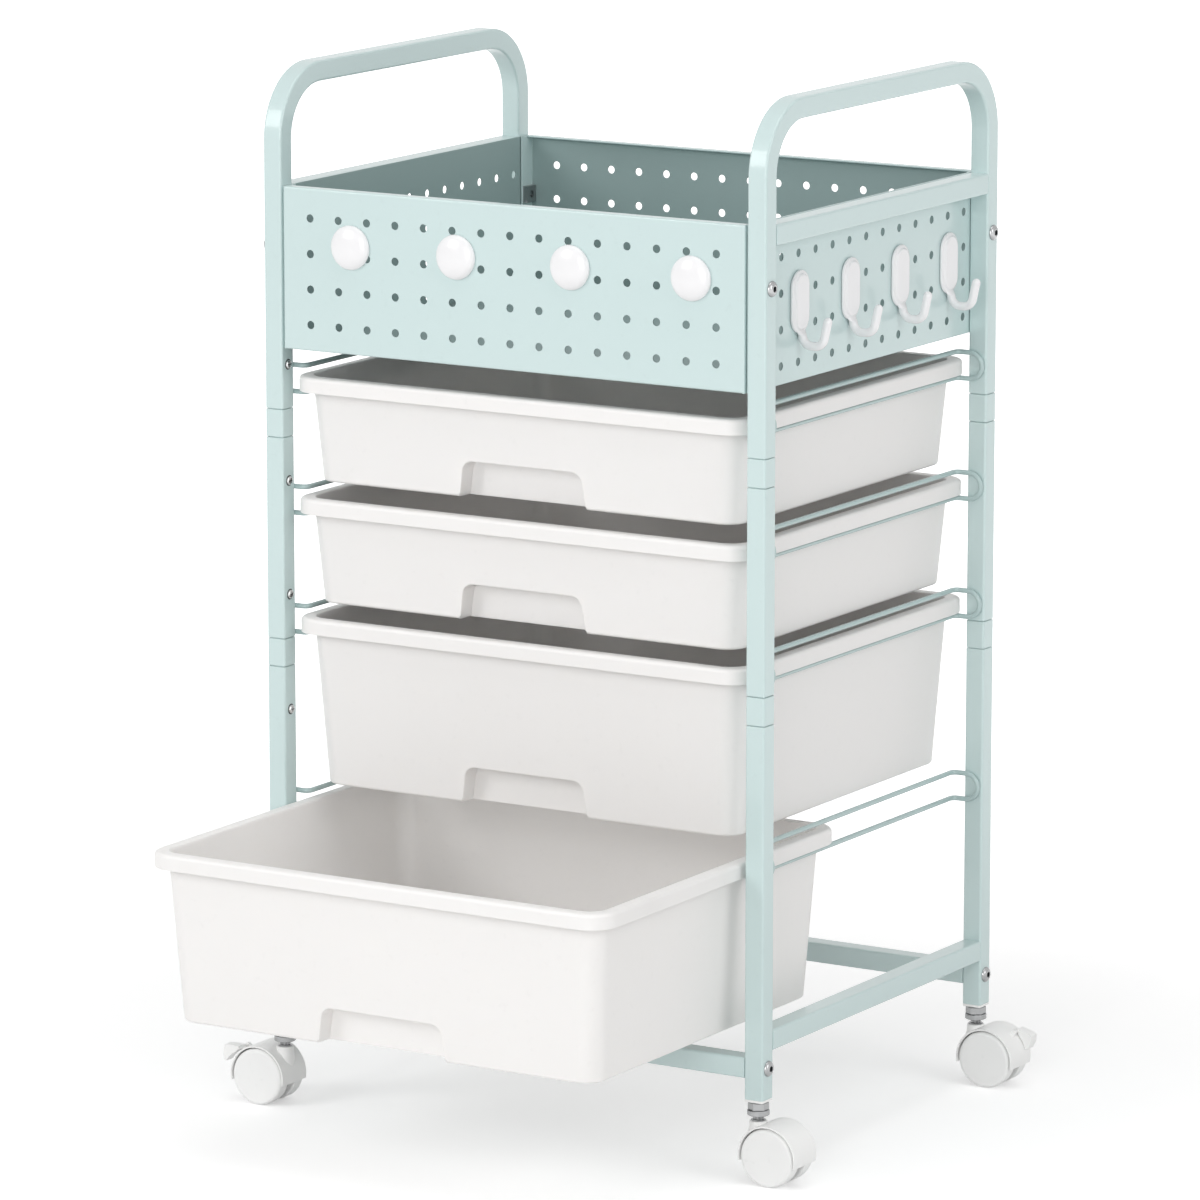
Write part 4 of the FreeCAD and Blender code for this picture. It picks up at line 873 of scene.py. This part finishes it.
# The plug in the post's foot: (height, how much smaller than the tube)
PLUG = ((61.0, 0.5), (61.5, 0.1), (62.7, 0.0), (63.0, 0.4))
NUT_Z = 50.5
NUT_FLANGE = ((8.0, 0), (8.5, 0.4), (8.5, 3.6), (8.1, 4.1), (5.5, 4.2))
NUT_HEXAGON = ((7.4, 4.0), (8.0, 4.6), (8.0, 5.0), (8.0, 9.4), (7.6, 9.9), (6.6, 10.4))
WASHER = ((5.4, -4.2), (5.6, -3.9), (5.6, -3.3), (4.0, -3.0))
thread = [(3.9, -4.0)]
for k in range(4):
    thread += [(4.0, -3.7 + k), (3.6, -3.2 + k), (4.0, -2.8 + k)]
thread.append((3.9, 0.6))

plugs = Shell()
nuts = Shell()
for side, end in CORNERS.values():
    x, y = side * POST_X, MID_Y + end * POST_Y
    tube_stations(plugs, [(Vector((x, y, z)), X, Y, less) for z, less in PLUG])
    centre = Vector((x, y, NUT_Z))
    nuts.take(revolved(NUT_FLANGE, centre, Z, X, 48))
    hexagons = Shell()
    hexagons.skin([on_plane(centre + Z * h, X, Y, hexagon(radius, 48))
                   for radius, h in NUT_HEXAGON])
    nuts.take(hexagons)
    nuts.take(revolved(thread, centre, Z, X, 32))
    nuts.take(revolved(WASHER, centre, Z, X, 32))
piece(plugs, "post_plugs_piece", "frame", CASTER, ["post_plugs"])
piece(nuts, "caster_nuts_piece", "frame", ZINC, ["caster_nuts"])

# A caster about its stem's axis, trailing towards +X
AXLE = Vector((16.0, 0.0, 22.25))
WHEEL_RADIUS = 22.25
WHEEL_INNER, WHEEL_OUTER = 4.8, 16.6
HOOD_HALF = 16.6
NECK = ((6.8, 30.0), (8.05, 36.5), (7.05, 40.5), (6.8, 42.6),
        (6.8, 45.6), (6.5, 46.1), (6.1, 46.3), (3.2, 46.3))
PIN_RADIUS, PIN_ANGLE = 27.0, 50.0
LEVER_HUG = 25.2
LEVER_LIFT = 18


def by_axle(radius, degrees, y=0.0):
    """A point at a distance and an angle from the axle, in the wheels' plane."""
    a, b = polar(radius, degrees)
    return AXLE + X * a + Z * b + Y * y


def caster_hood(braked):
    """Hood, web, neck and axle, with the lug of the lever where there is one."""
    shell = Shell()
    profile = [(23.3, 0.25), (23.55, 0.0), (24.0, 0.0), (24.4, 0.2), (24.6, 0.7)]
    profile = ([(r, less - HOOD_HALF) for r, less in profile]
               + [(r, HOOD_HALF - less) for r, less in reversed(profile)])
    shell.skin([[by_axle(r, -12 + 202 * k / 60, y) for r, y in profile] for k in range(61)])
    shell.skin([[by_axle(23.5, -10 + 198 * k / 40, y) for k in range(41)] for y in (-2.6, 2.6)])
    shell.take(revolved(NECK, Vector((0, 0, 0)), Z, X, 40))
    shell.take(revolved([(2.0, -12.0), (2.0, 12.0)], AXLE, Y, X, 24))
    if braked:
        pin = by_axle(PIN_RADIUS, PIN_ANGLE)
        base = by_axle(23.6, PIN_ANGLE)
        cosine, sine = polar(1, PIN_ANGLE)
        across = X * sine - Z * cosine
        eye = on_plane(pin, X, Z, arc((0, 0), 1.8, PIN_ANGLE - 90, PIN_ANGLE + 90, 12))
        lug = [base + across * 2.4] + eye + [base - across * 2.4]
        shell.skin([[p + Y * y for p in lug] for y in (0.2, 3.2)])
    return shell


def caster_wheel(side):
    """One wheel about its own axle, on one side of the web."""
    profile = [(2.2, WHEEL_INNER + 1.0), (2.2, WHEEL_INNER), (20.4, WHEEL_INNER),
               (21.6, WHEEL_INNER + 0.2), (22.05, WHEEL_INNER + 0.6),
               (WHEEL_RADIUS, WHEEL_INNER + 1.3), (WHEEL_RADIUS, WHEEL_OUTER - 2.4),
               (22.05, WHEEL_OUTER - 1.5), (21.5, WHEEL_OUTER - 0.7),
               (20.6, WHEEL_OUTER - 0.2), (19.4, WHEEL_OUTER),
               (18.6, WHEEL_OUTER - 0.02), (0.6, WHEEL_OUTER - 0.02)]
    return revolved(profile, AXLE, Y * side, X, 64)


def brake_lever(lift):
    """The wedge-shaped lever, raised by so many degrees about its pin."""
    pin = by_axle(PIN_RADIUS, PIN_ANGLE)
    outline = [pin - X * 1.9, pin - Z * 0.95]
    outline += [by_axle(LEVER_HUG, angle) for angle in (44, 37, 29.5, 22, 15)]
    outline += [by_axle(radius, angle) for radius, angle in (
        (27.7, 15), (31.5, 22), (34.4, 30), (34.8, 32), (33.6, 36), (31.0, 43))]
    outline.append(pin + Z * 1.9)
    middle = sum(outline, Vector((0, 0, 0))) / len(outline)
    shell = Shell()
    shell.skin([[middle + (p - middle) * (1 - less) + Y * y for p in outline]
                for y, less in ((6.9, 0.055), (7.4, 0.0), (15.9, 0.0), (16.5, 0.055))])
    shell.take(revolved([(1.0, 3.3), (1.0, 7.2)], pin, Y, X, 20))
    return shell.turned(Matrix.Translation(pin) @ Matrix.Rotation(math.radians(lift), 4, -Y)
                        @ Matrix.Translation(-pin))


for corner, (side, end) in CORNERS.items():
    spot = Matrix.Translation((side * POST_X, MID_Y + end * POST_Y, 0))
    if side < 0:
        spot = spot @ Matrix.Rotation(math.pi, 4, "Z")
    braked = corner in BRAKED
    node = "caster_hood_" + corner
    piece(caster_hood(braked).turned(spot), node + "_piece", "caster_" + corner, CASTER,
          [node], smooth=40)
    for word, towards in (("rear", 1), ("front", -1)):
        node = "%s_wheel_%s" % (word, corner)
        piece(caster_wheel(towards * side).turned(spot), node + "_piece",
              "%s_disc_%s" % (word, corner), TREAD, [node], smooth=40)
    if braked:
        node = "brake_lever_" + corner
        lift = LEVER_LIFT if corner == "front_left" else 0
        piece(brake_lever(lift).turned(spot), node + "_piece", "brake_" + corner, CASTER,
              [node], smooth=40)


# The CAD's own meshes that no piece replaces

for name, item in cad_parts.items():
    # The basket's floor takes the darker inside material: painted shade.
    if name.startswith("basket_floor"):
        material = SHADED_INSIDE
    elif name in ("frame_nuts", "caster_stems"):
        material = ZINC
    else:
        continue
    item.data.materials.clear()
    item.data.materials.append(material)


# Floor, light and camera

FLOOR_REACH = 30.0
FLOOR_GLOW_NEAR = 0.36
WORLD_LIGHT = 0.48


def add_maximum(nodes, links, first, second):
    """The larger of two outputs."""
    made = nodes.new("ShaderNodeMath")
    made.operation = "MAXIMUM"
    links.new(first, made.inputs[0])
    links.new(second, made.inputs[1])
    return made.outputs[0]


def floor_material():
    """White for the camera far off, plain near the object, where its shadow falls."""
    made, nodes, links = new_material("studio_floor")
    nodes.clear()
    out = nodes.new("ShaderNodeOutputMaterial")
    paint = add_node(nodes, "BsdfDiffuse", Color=(0.86, 0.86, 0.86, 1))
    glow = add_node(nodes, "Emission", Color=(1, 1, 1, 1))
    rays = nodes.new("ShaderNodeLightPath")
    seen = add_maximum(nodes, links, rays.outputs["Is Camera Ray"], rays.outputs["Is Glossy Ray"])
    place = nodes.new("ShaderNodeTexCoord")
    away = nodes.new("ShaderNodeVectorMath")
    away.operation = "LENGTH"
    links.new(place.outputs["Object"], away.inputs[0])
    graded = add_node(nodes, "MapRange", From_Min=0.5, From_Max=1.7,
                      To_Min=FLOOR_GLOW_NEAR, To_Max=1.0)
    graded.interpolation_type = "SMOOTHSTEP"
    links.new(away.outputs["Value"], graded.inputs["Value"])
    level = nodes.new("ShaderNodeMath")
    level.operation = "MULTIPLY"
    links.new(seen, level.inputs[0])
    links.new(graded.outputs["Result"], level.inputs[1])
    links.new(level.outputs[0], glow.inputs["Strength"])
    both = nodes.new("ShaderNodeAddShader")
    links.new(paint.outputs[0], both.inputs[0])
    links.new(glow.outputs[0], both.inputs[1])
    links.new(both.outputs[0], out.inputs["Surface"])
    return made


floor_mesh = bpy.data.meshes.new("studio_floor")
floor_mesh.from_pydata([(a * FLOOR_REACH, b * FLOOR_REACH, 0)
                        for a, b in ((-1, -1), (1, -1), (1, 1), (-1, 1))], [], [(0, 1, 2, 3)])
floor_mesh.materials.append(floor_material())
floor = bpy.data.objects.new("studio_floor", floor_mesh)
bpy.context.scene.collection.objects.link(floor)

world = bpy.data.worlds.new("studio")
bpy.context.scene.world = world
world.use_nodes = True
nodes, links = world.node_tree.nodes, world.node_tree.links
rays = nodes.new("ShaderNodeLightPath")
seen = rays.outputs["Is Camera Ray"]
for kind in ("Is Transmission Ray", "Is Glossy Ray"):
    seen = add_maximum(nodes, links, seen, rays.outputs[kind])
level = add_node(nodes, "MapRange", To_Min=WORLD_LIGHT, To_Max=1.0)
links.new(seen, level.inputs["Value"])
background = nodes["Background"]
background.inputs["Color"].default_value = (1, 1, 1, 1)
links.new(level.outputs["Result"], background.inputs["Strength"])


def aimed(name, data, place, look):
    """An object that looks in a direction from its place."""
    item = bpy.data.objects.new(name, data)
    item.location = place
    item.rotation_mode = "QUATERNION"
    item.rotation_quaternion = look.to_track_quat("-Z", "Y")
    bpy.context.scene.collection.objects.link(item)
    return item


def area_light(name, place, aim, size, power):
    lamp = bpy.data.lights.new(name, "AREA")
    lamp.shape = "SQUARE"
    lamp.size = size
    lamp.energy = power
    aimed(name, lamp, place, Vector(aim) - Vector(place))


area_light("key", (-1.9, -3.0, 2.1), (0, 0, 0.4), 1.4, 33)
area_light("front", (1.2, -3.8, 1.2), (0, 0, 0.3), 1.8, 40)
area_light("top", (0.3, -0.4, 3.6), (0, 0.1, 0.4), 2.0, 20)
area_light("right", (3.4, -0.4, 1.7), (0, 0.1, 0.4), 1.8, 25)

camera = bpy.data.cameras.new("camera")
camera.sensor_width = 36.0
camera.lens = 217.756
camera.clip_start = 0.1
camera.clip_end = 100.0
yaw, pitch = math.radians(31.38628), math.radians(11.06138)
look = Vector((-math.sin(yaw) * math.cos(pitch), math.cos(yaw) * math.cos(pitch),
               -math.sin(pitch)))
bpy.context.scene.camera = aimed("camera", camera, (2.83688, -4.60451, 1.46414), look)
bpy.context.scene.view_settings.view_transform = "Standard"
